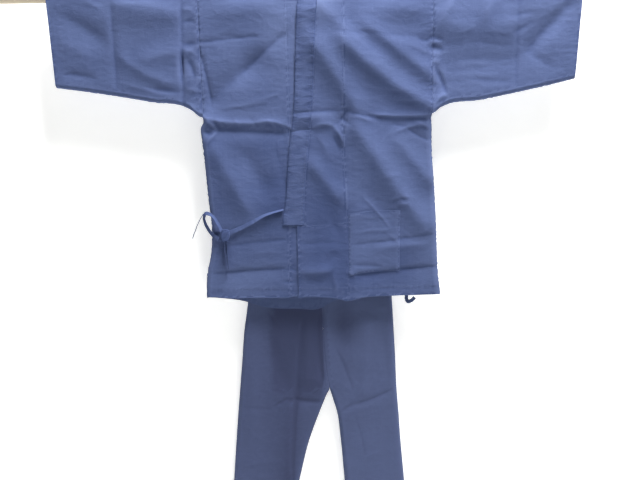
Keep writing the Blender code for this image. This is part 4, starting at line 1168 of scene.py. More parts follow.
def band_points(u):
    """The middle of the band's thickness, its normals and its own relief on a grid, with the grid's places.

    u are shares from its seam edge to its free edge. The middle is the straight line between both edges,
    raised by the relief of the front where it hangs. Its own relief is puckers along its lines of stitching
    and a fall to both edges.
    """
    seam_line, free_line = band_lines()
    centre = (seam_line + free_line) / 2
    middle, reach = along_line(centre, BAND_STEP)
    half = between(reach, run_length(centre), (free_line - seam_line) / 2)
    s, across = np.meshgrid(reach, u, indexing="ij")
    base = middle[:, None, :] + half[:, None, :] * (2 * across - 1)[..., None]
    normal = unit(np.cross(np.gradient(middle, axis=0), half))[:, None, :]
    if np.sum(normal[:40, 0, 1]) > 0:
        normal = -normal
    hanging = 1 - ease(base[..., 2], -0.045, -0.005)
    base[..., 1] -= front_relief(base[..., 0], np.minimum(base[..., 2], 0.0)) * hanging
    lines = np.exp(-np.abs(across - 0.14) / 0.09) + np.exp(-np.abs(across - 0.86) / 0.09)
    wave = puckered(across * BAND_WIDTH, s, 131, 0.0028, 0.0064, 2.4) * (0.15 + 0.85 * lines)
    second = field(across * BAND_WIDTH, s, 137, 0.014, 0.030, 2.0, 16)
    rounded = -0.0009 * (np.exp(-across / 0.04) + np.exp(-(1 - across) / 0.04))
    own = (0.0011 * wave + 0.00014 * second) * sizes().puckers + rounded
    return base, normal, own, s, across


class SamueBand(bpy.types.Operator):
    """The collar band: one folded strip round the neck and down both fronts, puckered by its stitching."""

    bl_idname = "samue.band"
    bl_label = "Collar band"

    def execute(self, context):
        base, normal, own, s, across = band_points(spaced(0.0, 1.0, 0.065, 0.06))
        outer = base + normal * (BAND / 2 + own[..., None])
        inner = base - normal * (BAND / 2 - 0.0002 + own[..., None] * 0.4)
        ring = np.concatenate([outer, inner[:, ::-1], outer[:, :1]], axis=1)
        centre = np.broadcast_to(ring.mean(axis=1, keepdims=True), ring.shape)
        ring = np.concatenate([centre[:1], ring, centre[-1:]])
        across_ring = np.concatenate([across, 2 - across[:, ::-1], across[:, :1] + 2], axis=1) * BAND_WIDTH
        s_ring = np.concatenate([s, s, s[:, :1]], axis=1)
        uv = np.stack([across_ring, s_ring], axis=-1)
        uv = np.concatenate([uv[:1], uv, uv[-1:]])
        wear_and_painted_light = np.clip(own / 0.0008, -1, 1) - 0.4
        wear_and_painted_light = np.concatenate([wear_and_painted_light, wear_and_painted_light[:, ::-1] * 0.2, wear_and_painted_light[:, :1]], axis=1)
        wear_and_painted_light = np.concatenate([wear_and_painted_light[:1], wear_and_painted_light, wear_and_painted_light[-1:]])
        piece = closed_tube("cloth_collar_band", ring, uv, wear_and_painted_light, jacket_cloth())
        finish_piece(piece, ["collar_band"])
        return {"FINISHED"}


def closed_tube(name, ring, uv, wear_and_painted_light, surface):
    """A tube from a grid whose last column repeats its first, its ends drawn together and merged."""
    normal = grid_normals(ring)
    centre = ring.mean(axis=1, keepdims=True)
    flip = np.sum(normal[1:-1] * (ring - centre)[1:-1]) < 0
    piece = put_mesh(name, ring, grid_faces(*ring.shape[:2], flip=flip), {"wear_and_painted_light": wear_and_painted_light}, uv, surface)
    mend(piece.data, merge=True)
    return piece


def pocket_points(z, x):
    """Outer points of the pocket on its panel; its three sewn sides turn in to the panel."""
    rise = z * column(HEM, "front", x) / -DROP
    away = np.minimum.reduce([x - POCKET["left"], POCKET["right"] - x, z - POCKET["bottom"]])
    across = (x - POCKET["left"]) / (POCKET["right"] - POCKET["left"])
    tucked = -0.0021 * np.exp(-away / 0.0045)
    inset = np.exp(-np.abs(away - 0.003) / 0.004)
    wave = 0.0004 * ripple(x + z, 141, 0.010) * inset * sizes().puckers
    top = 0.0004 * (1 - ease(POCKET["top"] - z, 0.018, 0.021))
    mouth = 0.0008 * np.exp(-(POCKET["top"] - z) / 0.012) * np.sin(math.pi * across)
    own = tucked + wave + top + mouth
    return over_rod(x, rise, HALF_CLOTH + POCKET["lift"] + overlap_lift(x, rise), -1, own), rise


class SamuePocket(bpy.types.Operator):
    """The patch pocket on the wearer's left front."""

    bl_idname = "samue.pocket"
    bl_label = "Pocket"

    def execute(self, context):
        z = spaced(POCKET["bottom"], POCKET["top"], 0.0032, 0.003)
        x = spaced(POCKET["left"], POCKET["right"], 0.0030, 0.003)
        z, x = np.broadcast_arrays(z[:, None], x[None, :])
        points, rise = pocket_points(z, x)
        uv = np.stack([x, rise], axis=-1)
        piece = add_shell("cloth_pocket", points, uv, jacket_cloth(), sizes().cloth, FAR_BEHIND)
        finish_piece(piece, ["pocket"])
        return {"FINISHED"}


def leg_painted_light_and_shade(x, z):
    """How much paler than their base the trousers are painted: painted light and shade.

    The wearer's left leg and the lower legs are painted palest, standing in for light, and the outer side of
    the right leg is paler too. The tops of the legs are painted paler against the shadow that the jacket's
    hem casts.
    The hollow between the thighs, its folds and the soft dent under the pocket aren't paler at all: painted
    shade.
    """
    hollow = ease(x, -0.152, -0.112) * (1 - ease(x, 0.004, 0.010)) * (1 - ease(-z, 1.03, 1.13))
    dent = np.exp(-((x - 0.070) / 0.032) ** 2 - ((z + 0.87) / 0.075) ** 2)
    top = 1.3 * (1 - ease(-z, 0.82, 0.875)) * (1 - hollow) * (1 - dent)
    paler = 1.5 * ease(x, 0.004, 0.030) + 0.5 * (1 - ease(x, -0.19, -0.13)) + 0.7 * ease(-z, 1.00, 1.55)
    return paler + top - 1.7 * hollow - 1.6 * dent + lined(x, z, TROUSER_PAINTED_SHADE)


def leg_points(side, s, depth):
    """Points of a trouser leg for places s round it, 0 at the centre front and 1 at the centre back.

    Above the crotch its edges lie flat beside the other leg's; below, they turn in to the inseam.
    """
    sign = SIGN[side]
    half = TROUSER_HALF + HALF_CLOTH
    depth, s = np.meshgrid(depth, s, indexing="ij")
    z = -depth
    near = np.where(s < 0.5, s, 1 - s) * 2
    turn = 2 * LEG_TURN_SHARE
    inner_t = np.clip(near / turn, 0, 1)
    flat_t = np.clip((near - turn) / (1 - 2 * turn), 0, 1)
    outer_t = np.clip((near - 1 + turn) / turn, 0, 1)
    folded = ease(depth, -INSEAM_START, -INSEAM_END)
    below = column(LEG, side + "_inner", z)
    above = column(LEG, "left_inner", z)
    inner_x = np.where(z < CROTCH, below, above) + sign * (SEAM_GAP + CLOTH * folded) / 2
    outer_x = column(LEG, side + "_outer", z) - sign * LEG_TURN
    start = inner_x + sign * LEG_TURN
    bow_in = (1 - inner_t) * math.pi / 2
    bow_out = outer_t * math.pi / 2
    x_in = (inner_x + (start - inner_x) * inner_t) * (1 - folded)
    x_in = x_in + (start - sign * (LEG_TURN + HALF_CLOTH) * np.sin(bow_in)) * folded
    y_in = half * (1 - folded) + (SEAM_GAP / 2 + (half - SEAM_GAP / 2) * np.cos(bow_in)) * folded
    x_flat = start + (outer_x - start) * flat_t
    x_out = outer_x + sign * (LEG_TURN + HALF_CLOTH) * np.sin(bow_out)
    x = np.where(inner_t < 1, x_in, np.where(outer_t > 0, x_out, x_flat))
    reach = np.where(inner_t < 1, y_in, half * np.cos(bow_out))
    free = ease(depth, 0.775, 0.86)
    weight = np.clip(reach / half, 0.0, 1.0)
    front = s < 0.5
    gather = 0.0010 * ripple(x, 151, 0.017) * (1 - ease(depth, LEG_TOP, 0.83)) * sizes().puckers
    raised = (creased(x, z, TROUSER_CREASES) + crumple(x, z, 31)) * np.where(front, 1.0, 0.55) * free
    raised = np.where(front, raised, raised + crumple(x, z, 37) * free)
    line = np.exp(-np.abs(depth - ANKLE + TROUSER_HEM) / 0.006)
    hem = 0.0005 * ripple(x, 161, 0.012) * line * sizes().puckers
    seam = -0.0008 * np.exp(-np.abs(near) / 0.012) * (1 - folded)
    total = (raised + gather + hem + seam) * weight
    y = TROUSER_MIDDLE + np.where(front, -1.0, 1.0) * (reach + total)
    return np.stack([x, y, z], axis=-1)


class SamueTrousers(bpy.types.Operator):
    """The trousers: two one-piece legs and a gathered waistband."""

    bl_idname = "samue.trousers"
    bl_label = "Trousers"

    def execute(self, context):
        for side in ("left", "right"):
            turn, side_turn = LEG_TURN_SHARE, 0.5 - LEG_TURN_SHARE
            flat = spaced(turn, side_turn, 0.0085)[1:]
            around = both_ways(spaced(0.0, turn, 0.0075), flat, spaced(side_turn, 0.5, 0.0075)[1:-1])
            depth = spaced(LEG_TOP, ANKLE, 0.0044, 0.004)
            points = leg_points(side, around, depth)
            run = np.cumsum(np.linalg.norm(np.diff(points, axis=1, prepend=points[:, :1]), axis=-1), axis=1)
            uv = np.stack([run, np.broadcast_to(depth[:, None], run.shape)], axis=-1)
            # Crest wear, and the light and shade painted on the legs.
            wear_and_painted_light = edge_wear(points) + leg_painted_light_and_shade(points[..., 0], points[..., 2])
            piece = add_shell("cloth_leg_" + side, points, uv, trouser_cloth(), sizes().cloth, TROUSER_MIDDLE,
                              wear_and_painted_light)
            finish_piece(piece, ["leg_" + side])
        loop = np.linspace(0.0, 1.0, 241)
        z = spaced(WAIST_TOP - WAISTBAND_HEIGHT, WAIST_TOP, 0.0035, 0.0025)
        points = waistband_points(loop, z)
        uv = np.stack(np.broadcast_arrays(loop[None, :] * WAISTBAND_ROUND, z[:, None]), axis=-1)
        piece = add_shell("cloth_waistband", points, uv, trouser_cloth(), WAISTBAND_SHELL, TROUSER_MIDDLE)
        finish_piece(piece, ["waistband"])
        return {"FINISHED"}


def waistband_points(t, z):
    """Outer points of the waistband: two straight runs joined by half circles, with small upright gathers."""
    middle = TROUSER_MIDDLE
    half = TROUSER_HALF + BAND / 2
    left = float(column(LEG, "left_outer", WAIST_TOP)) - LEG_TURN
    right = float(column(LEG, "right_outer", WAIST_TOP)) + LEG_TURN
    run, bend = left - right, math.pi * half
    s = np.asarray(t) * (2 * run + 2 * bend)
    first = np.clip(s / run, 0, 1)
    turn_a = np.clip((s - run) / bend, 0, 1) * math.pi
    second = np.clip((s - run - bend) / run, 0, 1)
    turn_b = np.clip((s - 2 * run - bend) / bend, 0, 1) * math.pi
    x = right + run * (first - second) + half * (np.sin(turn_a) - np.sin(turn_b))
    y = middle - half * np.where(turn_b > 0, -np.cos(turn_b), np.cos(turn_a))
    z, x, y = np.broadcast_arrays(np.asarray(z, dtype=float)[:, None], x[None, :], y[None, :])
    s = np.broadcast_to(s[None, :], z.shape)
    lines = np.abs(z - WAIST_TOP + WAISTBAND_HEIGHT / 2) / (WAISTBAND_HEIGHT / 2)
    deep = -0.0006 + 0.0005 * ripple(s, 171, 0.011) * (1.15 - lines) * sizes().puckers
    out = np.stack([np.zeros_like(x), np.sign(y - middle), np.zeros_like(x)], axis=-1)
    flat = (np.abs(y - middle) / half) ** 2
    return np.stack([x, y, z], axis=-1) + out * (np.minimum(deep, 0.0002) * flat)[..., None]


# Ties, from one end to the other. The outer and the side one are given as x, z and lift on the lower front,
# the others as x, y and z. A turn says which way the tape's face points at even steps along it.
OUTER_TIE_ROWS = (
    (-0.0900, -0.5455, 0.0040),
    (-0.1150, -0.5515, 0.0048),
    (-0.1400, -0.5595, 0.0046),
    (-0.1680, -0.5745, 0.0030),
    (-0.1950, -0.5885, 0.0020),
    (-0.2336, -0.6046, 0.0073),
)
OUTER_TIE_TURN = (
    (0.0, -0.30, 0.95),
    (0.0, -0.40, 0.92),
    (0.0, -0.62, 0.78),
    (0.0, -0.90, 0.44),
    (0.0, -0.97, 0.25),
    (0.0, -1.0, 0.05),
)
SIDE_TIE_ROWS = ((-0.2760, -0.6080, 0.0006), (-0.2700, -0.6085, 0.0006), (-0.2602, -0.6098, 0.0060))
LOOP_ROWS = (
    (-0.2545, -0.0245, -0.6000),
    (-0.2640, -0.0262, -0.5790),
    (-0.2750, -0.0268, -0.5610),
    (-0.2850, -0.0266, -0.5530),
    (-0.2940, -0.0260, -0.5515),
    (-0.2995, -0.0252, -0.5610),
    (-0.2975, -0.0242, -0.5770),
    (-0.2890, -0.0234, -0.5960),
    (-0.2790, -0.0228, -0.6100),
    (-0.2640, -0.0225, -0.6200),
)
LOOP_TURN = (
    (0.5, -0.8, 0.5),
    (0.6, -0.5, 0.6),
    (0.4, -0.5, 0.8),
    (0.1, -0.5, 0.9),
    (-0.7, -0.8, 0.2),
    (-0.8, -0.9, -0.2),
    (-0.4, -1.0, -0.4),
    (-0.3, -1.0, -0.4),
    (-0.2, -1.0, -0.2),
    (0.0, -1.0, 0.3),
)
SIDE_END_ROWS = (
    (-0.3014, -0.0250, -0.5527),
    (-0.3120, -0.0250, -0.5700),
    (-0.3230, -0.0250, -0.5930),
    (-0.3330, -0.0250, -0.6180),
)
SHORT_END_ROWS = ((-0.2490, -0.0225, -0.6277), (-0.2495, -0.0225, -0.6500), (-0.2480, -0.0225, -0.6720))
LONG_END_ROWS = ((-0.2420, -0.0225, -0.6268), (-0.2430, -0.0225, -0.6650), (-0.2410, -0.0225, -0.7040))
INNER_LEFT_ROWS = (
    (0.3105, 0.0, -0.5885),
    (0.2950, 0.0, -0.6120),
    (0.2680, 0.0, -0.6900),
    (0.2460, 0.0, -0.7550),
    (0.2400, 0.0, -0.7880),
    (0.2398, -0.0010, -0.8000),
    (0.2440, -0.0020, -0.8068),
    (0.2520, -0.0024, -0.8040),
    (0.2620, -0.0020, -0.7950),
)
INNER_RIGHT_ROWS = ((0.0850, -0.0112, -0.5650), (0.0855, -0.0085, -0.6300), (0.0840, -0.0075, -0.7600))
KNOT_CENTRE = (-0.2460, -0.0240, -0.6120)
TOWARDS_VIEWER = (0.0, -1.0, 0.0)
TOWARDS_SIDE = (-1.0, 0.0, 0.0)
# Ties by their solid: route, turn, seed, the piece below, width, and the way from which the face is seen
FREE_TIES = (
    ("tie_loop", LOOP_ROWS, LOOP_TURN, 7, "cloth_tie_knot", LOOP_TAPE_WIDTH, TOWARDS_VIEWER),
    ("tie_end_side", SIDE_END_ROWS, (-0.85, 0.0, -0.5), 9, "cloth_tie_loop", TAPE_WIDTH, TOWARDS_SIDE),
    ("tie_end_short", SHORT_END_ROWS, (-1.0, -0.14, -0.1), 11, "cloth_tie_knot", TAPE_WIDTH, TOWARDS_SIDE),
    ("tie_end_long", LONG_END_ROWS, (-1.0, -0.34, -0.1), 13, "cloth_tie_knot", TAPE_WIDTH, TOWARDS_SIDE),
    ("tie_inner_left", INNER_LEFT_ROWS, TOWARDS_VIEWER, 15, "cloth_body_left", INNER_TAPE_WIDTH,
     TOWARDS_VIEWER),
    ("tie_inner_right", INNER_RIGHT_ROWS, TOWARDS_VIEWER, 17, "cloth_collar_band", INNER_TAPE_WIDTH,
     TOWARDS_VIEWER),
)


def tape_points(route, facing, width, seed):
    """A flat tape along a smooth line: its face is turned to one direction, or to several in turn along it.

    Its outer points are the line plus a share of its width across, with small creases along it.
    """
    line, reach = along_line(np.array(route, dtype=float), TAPE_STEP)
    along = np.gradient(line, axis=0)
    facing = np.array(facing, dtype=float)
    if facing.ndim > 1:
        facing = between(reach / reach[-1], np.linspace(0, 1, len(facing)), facing)
    across = unit(np.cross(along, facing))
    normal = unit(np.cross(across, along))
    u = np.array((-1.0, -0.86, -0.5, 0.0, 0.5, 0.86, 1.0))
    s, v = np.meshgrid(reach, u, indexing="ij")
    crease = 0.00045 * ripple(s, seed, 0.011) * (0.4 + 0.6 * v**2) - 0.0003 * v**4
    base = line[:, None, :] + across[:, None, :] * (v * width / 2)[..., None]
    return base + normal[:, None, :] * crease[..., None], s, v


def add_tape(solid, route, facing, seed, below, width=TAPE_WIDTH, seen_from=TOWARDS_VIEWER):
    """One tie as a thin shell."""
    points, s, v = tape_points(route, facing, width, seed)
    if np.sum(grid_normals(points) * np.array(seen_from)) < 0:
        points, s, v = points[:, ::-1], s[:, ::-1], v[:, ::-1]
    points = points + grid_normals(points) * sizes().tape / 2
    uv = np.stack([v * width / 2, s], axis=-1)
    # Painted shade: the tapes are painted a step darker all over.
    wear_and_painted_light = edge_wear(points) - 0.6
    piece = add_shell("cloth_" + solid, points, uv, tie_cloth(), sizes().tape, FAR_BEHIND, wear_and_painted_light)
    finish_piece(piece, [solid])


def on_right_front(row):
    """A point of a tie above the lower front's face."""
    x, z, lift = row
    depth = float(hang_depth(np.array(z))) + HALF_CLOTH + SEAM_GAP + TAPE_HALF + lift
    depth += float(front_relief(np.array([x]), np.array([z]))[0])
    return (x, -depth, z)


class SamueTies(bpy.types.Operator):
    """The ties: the outer one with its wound knot, loop and loose ends, the side one and the inner ones."""

    bl_idname = "samue.ties"
    bl_label = "Ties"

    def execute(self, context):
        knot = knot_piece()
        finish_piece(knot, ["tie_knot"])
        outer = [on_right_front(row) for row in OUTER_TIE_ROWS]
        side = [on_right_front(row) for row in SIDE_TIE_ROWS]
        add_tape("tie_outer", outer, OUTER_TIE_TURN, 3, "cloth_collar_band")
        add_tape("tie_side", side, TOWARDS_VIEWER, 5, "cloth_body_right")
        for row in FREE_TIES:
            add_tape(*row)
        return {"FINISHED"}


def knot_piece():
    """The knot: a rounded body of wound tape, its surface an ellipsoid folded by slanting turns of tape.

    At angles a round it and b from its top, each radius is scaled by 0.80 + 0.24 |sin(1.5 a + 3 b)|^0.5, and
    its sines and cosines are drawn towards 1 by powers below 1, which flattens its faces.
    """
    def drawn(value, power):
        return np.sign(value) * np.abs(value) ** power

    a = np.linspace(0, 2 * math.pi, 73)[None, :]
    b = np.linspace(0.001, math.pi - 0.001, 41)[:, None]
    wraps = np.abs(np.sin(1.5 * a + 3.0 * b)) ** 0.5
    scale = 0.80 + 0.24 * wraps
    wide, deep, high = 0.0112, 0.0036, 0.0165
    x = wide * drawn(np.sin(b), 0.5) * drawn(np.cos(a), 0.5) * scale
    y = deep * drawn(np.sin(b), 0.5) * drawn(np.sin(a), 0.5) * scale
    z = high * drawn(np.cos(b), 0.6) * scale * np.ones_like(a)
    cos, sin = math.cos(0.12), math.sin(0.12)
    points = np.stack([x * cos + z * sin, y, -x * sin + z * cos], -1) + np.array(KNOT_CENTRE)
    uv = np.stack(np.broadcast_arrays(a * 0.010, b * 0.014), axis=-1)
    # Painted shade: the knot's tape is held at about its base colour, only a little paler on the crests of
    # its turns.
    return closed_tube("cloth_tie_knot", points, uv, (1.5 * wraps - 2.7) * np.ones_like(x), tie_cloth())


def stitch_row(points, normals, length):
    """Centres, directions and normals of stitches along a sampled line, a stitch and a small gap apart."""
    reach = run_length(points)
    places = np.arange(length, reach[-1] - length, length * 1.35)
    ahead = between(places + length / 3, reach, points)
    back = between(places - length / 3, reach, points)
    return between(places, reach, points), unit(ahead - back), unit(between(places, reach, normals))


def stitches(name, rows, surface, length, thick):
    """All stitches as one mesh: each a short six-sided spindle, sunk at both ends, laid along its row."""
    ring = np.arange(6) * math.pi / 3
    along = np.array((-0.5, -0.3, 0.3, 0.5))
    girth = np.array((0.25, 1.0, 1.0, 0.25))
    sink = np.array((-0.9, 0.25, 0.25, -0.9))
    centre, direction, normal = (np.concatenate([row[k] for row in rows]) for k in range(3))
    side = unit(np.cross(direction, normal))
    shape = centre[:, None, None, :] + direction[:, None, None, :] * (along * length)[None, :, None, None]
    shape = shape + normal[:, None, None, :] * (sink * thick / 2)[None, :, None, None]
    round_it = (girth * thick / 2)[None, :, None, None]
    shape = shape + round_it * (side[:, None, None, :] * np.cos(ring)[None, None, :, None]
                                + normal[:, None, None, :] * np.sin(ring)[None, None, :, None])
    block = np.arange(len(along) * len(ring)).reshape(len(along), len(ring))
    quads = np.stack([block[:-1], np.roll(block, -1, 1)[:-1], np.roll(block, -1, 1)[1:], block[1:]], -1)
    quads = quads.reshape(-1, 4)
    caps = np.array(((0, 5, 2, 1), (5, 4, 3, 2), (18, 19, 20, 21), (18, 21, 22, 23)))
    one = np.concatenate([quads, caps])
    faces = (one[None] + (np.arange(len(centre)) * block.size)[:, None, None]).reshape(-1, 4)
    vertices = shape.reshape(-1, 3)
    uv = np.zeros((len(vertices), 2))
    piece = put_mesh(name, vertices, faces, {"wear_and_painted_light": np.zeros(len(vertices))}, uv, surface)
    mend(piece.data)
    return piece


def surface_line(surface, x, z, dz=0.001):
    """Points and outward normals of a line at (x, z) on a surface that is a function of x and z."""
    here = surface(x, z)
    normal = unit(np.cross(surface(x + 0.001, z) - here, surface(x, z + dz) - here))
    return here, normal * np.sign(-normal[:, 1:2])


# Stitching, in metres. Hems go from x to x, with 1 on the upper front, at a share of the hem's height.
# The way round the pocket is in x and z. Its mouth and the band's end go from x to x at one height, and
# cuffs from z to z. The band's own lines are shares of its width.
HEM_STITCHES = ((0.083, 0.318, 1), (-0.050, 0.074, 1), (-0.083, -0.290, 0))
HEM_STITCH_SHARE = 0.9685
POCKET_STITCHES = ((0.0835, -0.5580), (0.0835, -0.7195), (0.2165, -0.7195), (0.2165, -0.5580))
POCKET_MOUTH_STITCHES = (0.0845, 0.2155, -0.5745)
BAND_END_STITCHES = (-0.086, -0.042, -0.5450)
CUFF_STITCHES = (-0.030, -0.200)
CUFF_BOTTOM = -0.2196
BAND_STITCHES = (0.10, 0.88)


def front_line(x, z, lift):
    """Points and normals of a line on the front."""
    return surface_line(lambda a, b: over_rod(a, b, lift, -1), x, z)


def pocket_line(x, z):
    """Points and normals of a line on the pocket."""
    return surface_line(lambda a, b: pocket_points(b, a)[0], x, z, -0.001)


class SamueStitching(bpy.types.Operator):
    """Topstitching on the band and its end, the hems, the cuffs and the pocket."""

    bl_idname = "samue.stitching"
    bl_label = "Stitching"

    def execute(self, context):
        length, thick = sizes().stitch, sizes().thread
        above = HALF_CLOTH + thick * 0.15
        rows = []
        for share in BAND_STITCHES:
            base, normal, own = band_points([share, share + 0.02])[:3]
            outer = base + normal * (BAND / 2 + own[..., None])
            rows.append((outer[:, 0] + normal[:, 0] * thick * 0.2, normal[:, 0]))
        start, end, height = BAND_END_STITCHES
        x = np.linspace(start, end, 40)
        rows.append(front_line(x, np.full(40, height), OVERLAP_LIFT + BAND - HALF_CLOTH))
        for start, end, upper in HEM_STITCHES:
            x = np.linspace(start, end, 120)
            z = column(HEM, "front", x) * HEM_STITCH_SHARE
            rows.append(front_line(x, z, above + overlap_lift(x, z) * upper))
        for (x0, z0), (x1, z1) in zip(POCKET_STITCHES, POCKET_STITCHES[1:]):
            rows.append(pocket_line(np.linspace(x0, x1, 60), np.linspace(z0, z1, 60)))
        start, end, height = POCKET_MOUTH_STITCHES
        rows.append(pocket_line(np.linspace(start, end, 60), np.full(60, height)))
        for side, sign in SIGN.items():
            z = np.linspace(*CUFF_STITCHES, 70)
            x = CUFF_TOP[side] + CUFF_LEAN[side] * z / CUFF_BOTTOM - sign * CUFF_HEM
            rows.append(front_line(x, z, above))
        rows = [stitch_row(*row, length) for row in rows]
        piece = stitches("thread_jacket", rows, thread_material(), length, thick)
        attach(piece, "root")
        return {"FINISHED"}


class SamueHanger(bpy.types.Operator):
    """The rod, and the two flat strips that carry the trousers from it."""

    bl_idname = "samue.hanger"
    bl_label = "Rod and strips"

    def execute(self, context):
        wood, steel = wood_material(), steel_material()
        turns = np.linspace(0, 2 * math.pi, 97)[None, :]
        half, round_off = ROD_HALF_LENGTH, 0.0015
        ends = np.array((0.0, 0.0005, 0.0010, round_off))
        near_end = ROD_RADIUS - round_off + np.sqrt(np.maximum(round_off**2 - (round_off - ends) ** 2, 0))
        middle = np.linspace(-half + 0.02, half - 0.02, 60)
        x = np.concatenate([[-half], -half + ends, middle, half - ends[::-1], [half]])
        radius = np.concatenate([[0.0], near_end, np.full(60, ROD_RADIUS), near_end[::-1], [0.0]])
        ring = np.stack(np.broadcast_arrays(
            x[:, None], radius[:, None] * np.cos(turns), radius[:, None] * np.sin(turns)), -1)
        uv = np.stack(np.broadcast_arrays(x[:, None], turns * ROD_RADIUS), -1)
        rod = closed_tube("wood_rod", ring, uv, np.zeros(ring.shape[:2]), wood)
        finish_piece(rod, ["rod"])
        for side in ("left", "right"):
            hook = hook_piece(side, steel)
            finish_piece(hook, ["hook_" + side])
        return {"FINISHED"}


def hook_piece(side, surface):
    """A flat strip: its closed outline in the YZ plane is carried along X, then its edges are rounded."""
    centre = HOOK_X * SIGN[side]
    half = HOOK_THICKNESS / 2
    arc = np.radians(np.linspace(-90.0, 90.0, 33))
    near, far = HOOK_RADIUS - half, HOOK_RADIUS + half
    jaw_near = TROUSER_FRONT + BAND / 2 + SEAM_GAP
    jaw_far = jaw_near + HOOK_THICKNESS
    bridge = WAIST_TOP + SEAM_GAP
    jaw_end = WAIST_TOP - HOOK_JAW
    outer = np.stack([far * np.sin(arc), far * np.cos(arc)], 1)
    inner = np.stack([near * np.sin(arc[::-1]), near * np.cos(arc[::-1])], 1)
    run = ((far, bridge + HOOK_THICKNESS), (jaw_far, bridge + HOOK_THICKNESS), (jaw_far, jaw_end),
           (jaw_near, jaw_end), (jaw_near, bridge), (far, bridge), (far, jaw_end), (near, jaw_end))
    outline = np.concatenate([[(-far, HOOK_TIP)], outer, run, inner, [(-near, HOOK_TIP)]])
    count = len(outline)
    start, end = centre - HOOK_WIDTH / 2, centre + HOOK_WIDTH / 2
    vertices = np.concatenate([np.insert(outline, 0, x, axis=1) for x in (start, end)])
    ring = np.arange(count)
    sides = np.stack([ring, np.roll(ring, -1), np.roll(ring, -1) + count, ring + count], 1)
    mesh = bpy.data.meshes.new("steel_hook_" + side)
    mesh.from_pydata(vertices.tolist(), [], sides.tolist() + [ring[::-1].tolist(), (ring + count).tolist()])
    mend(mesh)
    mesh.materials.append(surface)
    piece = add_object("steel_hook_" + side, mesh)
    bevel = piece.modifiers.new("rounded edges", "BEVEL")
    bevel.width = 0.00025
    bevel.segments = 2
    bevel.limit_method = "ANGLE"
    bevel.angle_limit = math.radians(50)
    mesh.shade_smooth()
    mesh.set_sharp_from_angle(angle=math.radians(40))
    return piece


# The stage: its floor, its wall and how far they reach, in metres
FLOOR_Z = -1.80
WALL_Y = 0.066
WALL_TOP = 4
STAGE_REACH = 6
# Soft lights: name, place, the point that they are turned to, size and power
LIGHTS = (
    ("light_top", (0.62, -0.80, 2.10), (0.0, 0.0, -0.45), 1.0, 214.0),
    ("light_front", (0.9, -2.4, -1.9), (0.0, 0.0, -1.1), 1.6, 11.0),
    ("light_back", (0.9, 2.8, 1.8), (0.0, 0.0, -0.7), 1.6, 60.0),
)
# The photo's camera: its place, its tilt from straight down and its roll in degrees
CAMERA_PLACE = (0.0053, -1.652, -0.3405)
CAMERA_TILT = 80.0
CAMERA_ROLL = -0.9


def plain_material(name, colour, roughness, glow=0.0):
    """A plain pale surface that may glow a little."""
    made, tree = new_material(name)
    feed(tree, tree.nodes["Principled BSDF"], {
        "Base Color": (*colour, 1.0),
        "Roughness": roughness,
        "Specular IOR Level": 0.1,
        "Emission Color": (1.0, 1.0, 0.99, 1.0),
        "Emission Strength": glow})
    return made


def see_from_front_only(made):
    """Clear from behind, so that the wall hides nothing when the garment is seen from its back."""
    tree = made.node_tree
    behind = node(tree, "ShaderNodeNewGeometry").outputs["Backfacing"]
    clear = node(tree, "ShaderNodeBsdfTransparent").outputs[0]
    paint = tree.nodes["Principled BSDF"].outputs[0]
    mixed = node(tree, "ShaderNodeMixShader", {0: behind, 1: paint, 2: clear})
    feed(tree, tree.nodes["Material Output"], {"Surface": mixed.outputs[0]})


def add_plane(name, corners, surface):
    """One flat face with four corners."""
    mesh = bpy.data.meshes.new(name)
    mesh.from_pydata(corners, [], [(0, 1, 2, 3)])
    mesh.materials.append(surface)
    return add_object(name, mesh)


def add_light(name, place, target, size, power):
    """A square soft light turned to a point."""
    data = bpy.data.lights.new(name, "AREA")
    data.size = size
    data.energy = power
    lamp = add_object(name, data)
    lamp.location = place
    lamp.rotation_euler = (Vector(target) - Vector(place)).to_track_quat("-Z", "Y").to_euler()


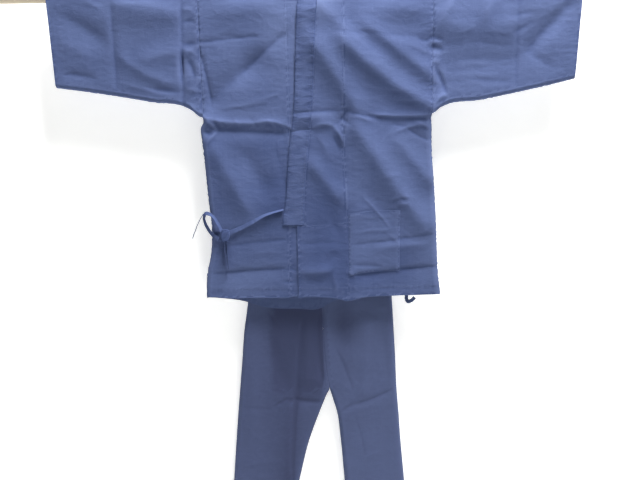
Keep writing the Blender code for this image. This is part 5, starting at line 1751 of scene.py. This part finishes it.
class SamueStage(bpy.types.Operator):
    """A plain pale floor and wall, soft studio light and the camera."""

    bl_idname = "samue.stage"
    bl_label = "Stage"

    def execute(self, context):
        far, low, top = STAGE_REACH, FLOOR_Z, WALL_TOP
        floor_corners = [(-far, -far, low), (far, -far, low), (far, far, low), (-far, far, low)]
        wall_corners = [(-far, WALL_Y, low), (far, WALL_Y, low), (far, WALL_Y, top), (-far, WALL_Y, top)]
        floor_paint = plain_material("pale_floor", (0.80, 0.80, 0.79), 0.8)
        wall_paint = plain_material("pale_wall", (0.90, 0.90, 0.89), 0.85, 0.49)
        see_from_front_only(wall_paint)
        floor_piece = add_plane("floor", floor_corners, floor_paint)
        wall_piece = add_plane("wall", wall_corners, wall_paint)
        for row in LIGHTS:
            add_light(*row)
        world = bpy.context.scene.world or bpy.data.worlds.new("world")
        bpy.context.scene.world = world
        world.use_nodes = True
        sky = world.node_tree.nodes["Background"]
        feed(world.node_tree, sky, {"Color": (0.96, 0.98, 1.0, 1.0), "Strength": 0.14})
        data = bpy.data.cameras.new("camera")
        data.lens = 35.0
        data.sensor_width = 36.0
        camera = add_object("camera", data)
        camera.location = CAMERA_PLACE
        tilt = Euler((math.radians(CAMERA_TILT), 0.0, 0.0)).to_matrix()
        roll = Euler((0.0, 0.0, math.radians(CAMERA_ROLL))).to_matrix()
        camera.rotation_euler = (tilt @ roll).to_euler()
        bpy.context.scene.camera = camera
        bpy.context.scene.view_settings.view_transform = "Standard"
        return {"FINISHED"}


class SamuePanel(bpy.types.Panel):
    """The sizes, the colours and a button for each piece."""

    bl_idname = "VIEW3D_PT_samue"
    bl_label = "Samue"
    bl_space_type = "VIEW_3D"
    bl_region_type = "UI"
    bl_category = "Samue"

    def draw(self, context):
        for group in (context.scene.samue_sizes, context.scene.samue_colours):
            for key in group.__annotations__:
                self.layout.prop(group, key)
        for operator in OPERATORS:
            self.layout.operator(operator.bl_idname)


OPERATORS = (SamueStage, SamueHanger, SamueBody, SamueSleeves, SamueOverlaps, SamueBand, SamuePocket,
             SamueTrousers, SamueTies, SamueStitching)
CLASSES = (SamueSizes, SamueColours, *OPERATORS, SamuePanel)


def register():
    """Register the classes and their settings."""
    for cls in CLASSES:
        bpy.utils.register_class(cls)
    bpy.types.Scene.samue_sizes = bpy.props.PointerProperty(type=SamueSizes)
    bpy.types.Scene.samue_colours = bpy.props.PointerProperty(type=SamueColours)


def unregister():
    """Take the settings and the classes away again."""
    del bpy.types.Scene.samue_sizes
    del bpy.types.Scene.samue_colours
    for cls in reversed(CLASSES):
        bpy.utils.unregister_class(cls)


def main():
    """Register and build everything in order."""
    register()
    for operator in OPERATORS:
        group, name = operator.bl_idname.split(".")
        getattr(getattr(bpy.ops, group), name)()


if __name__ == "__main__":
    main()
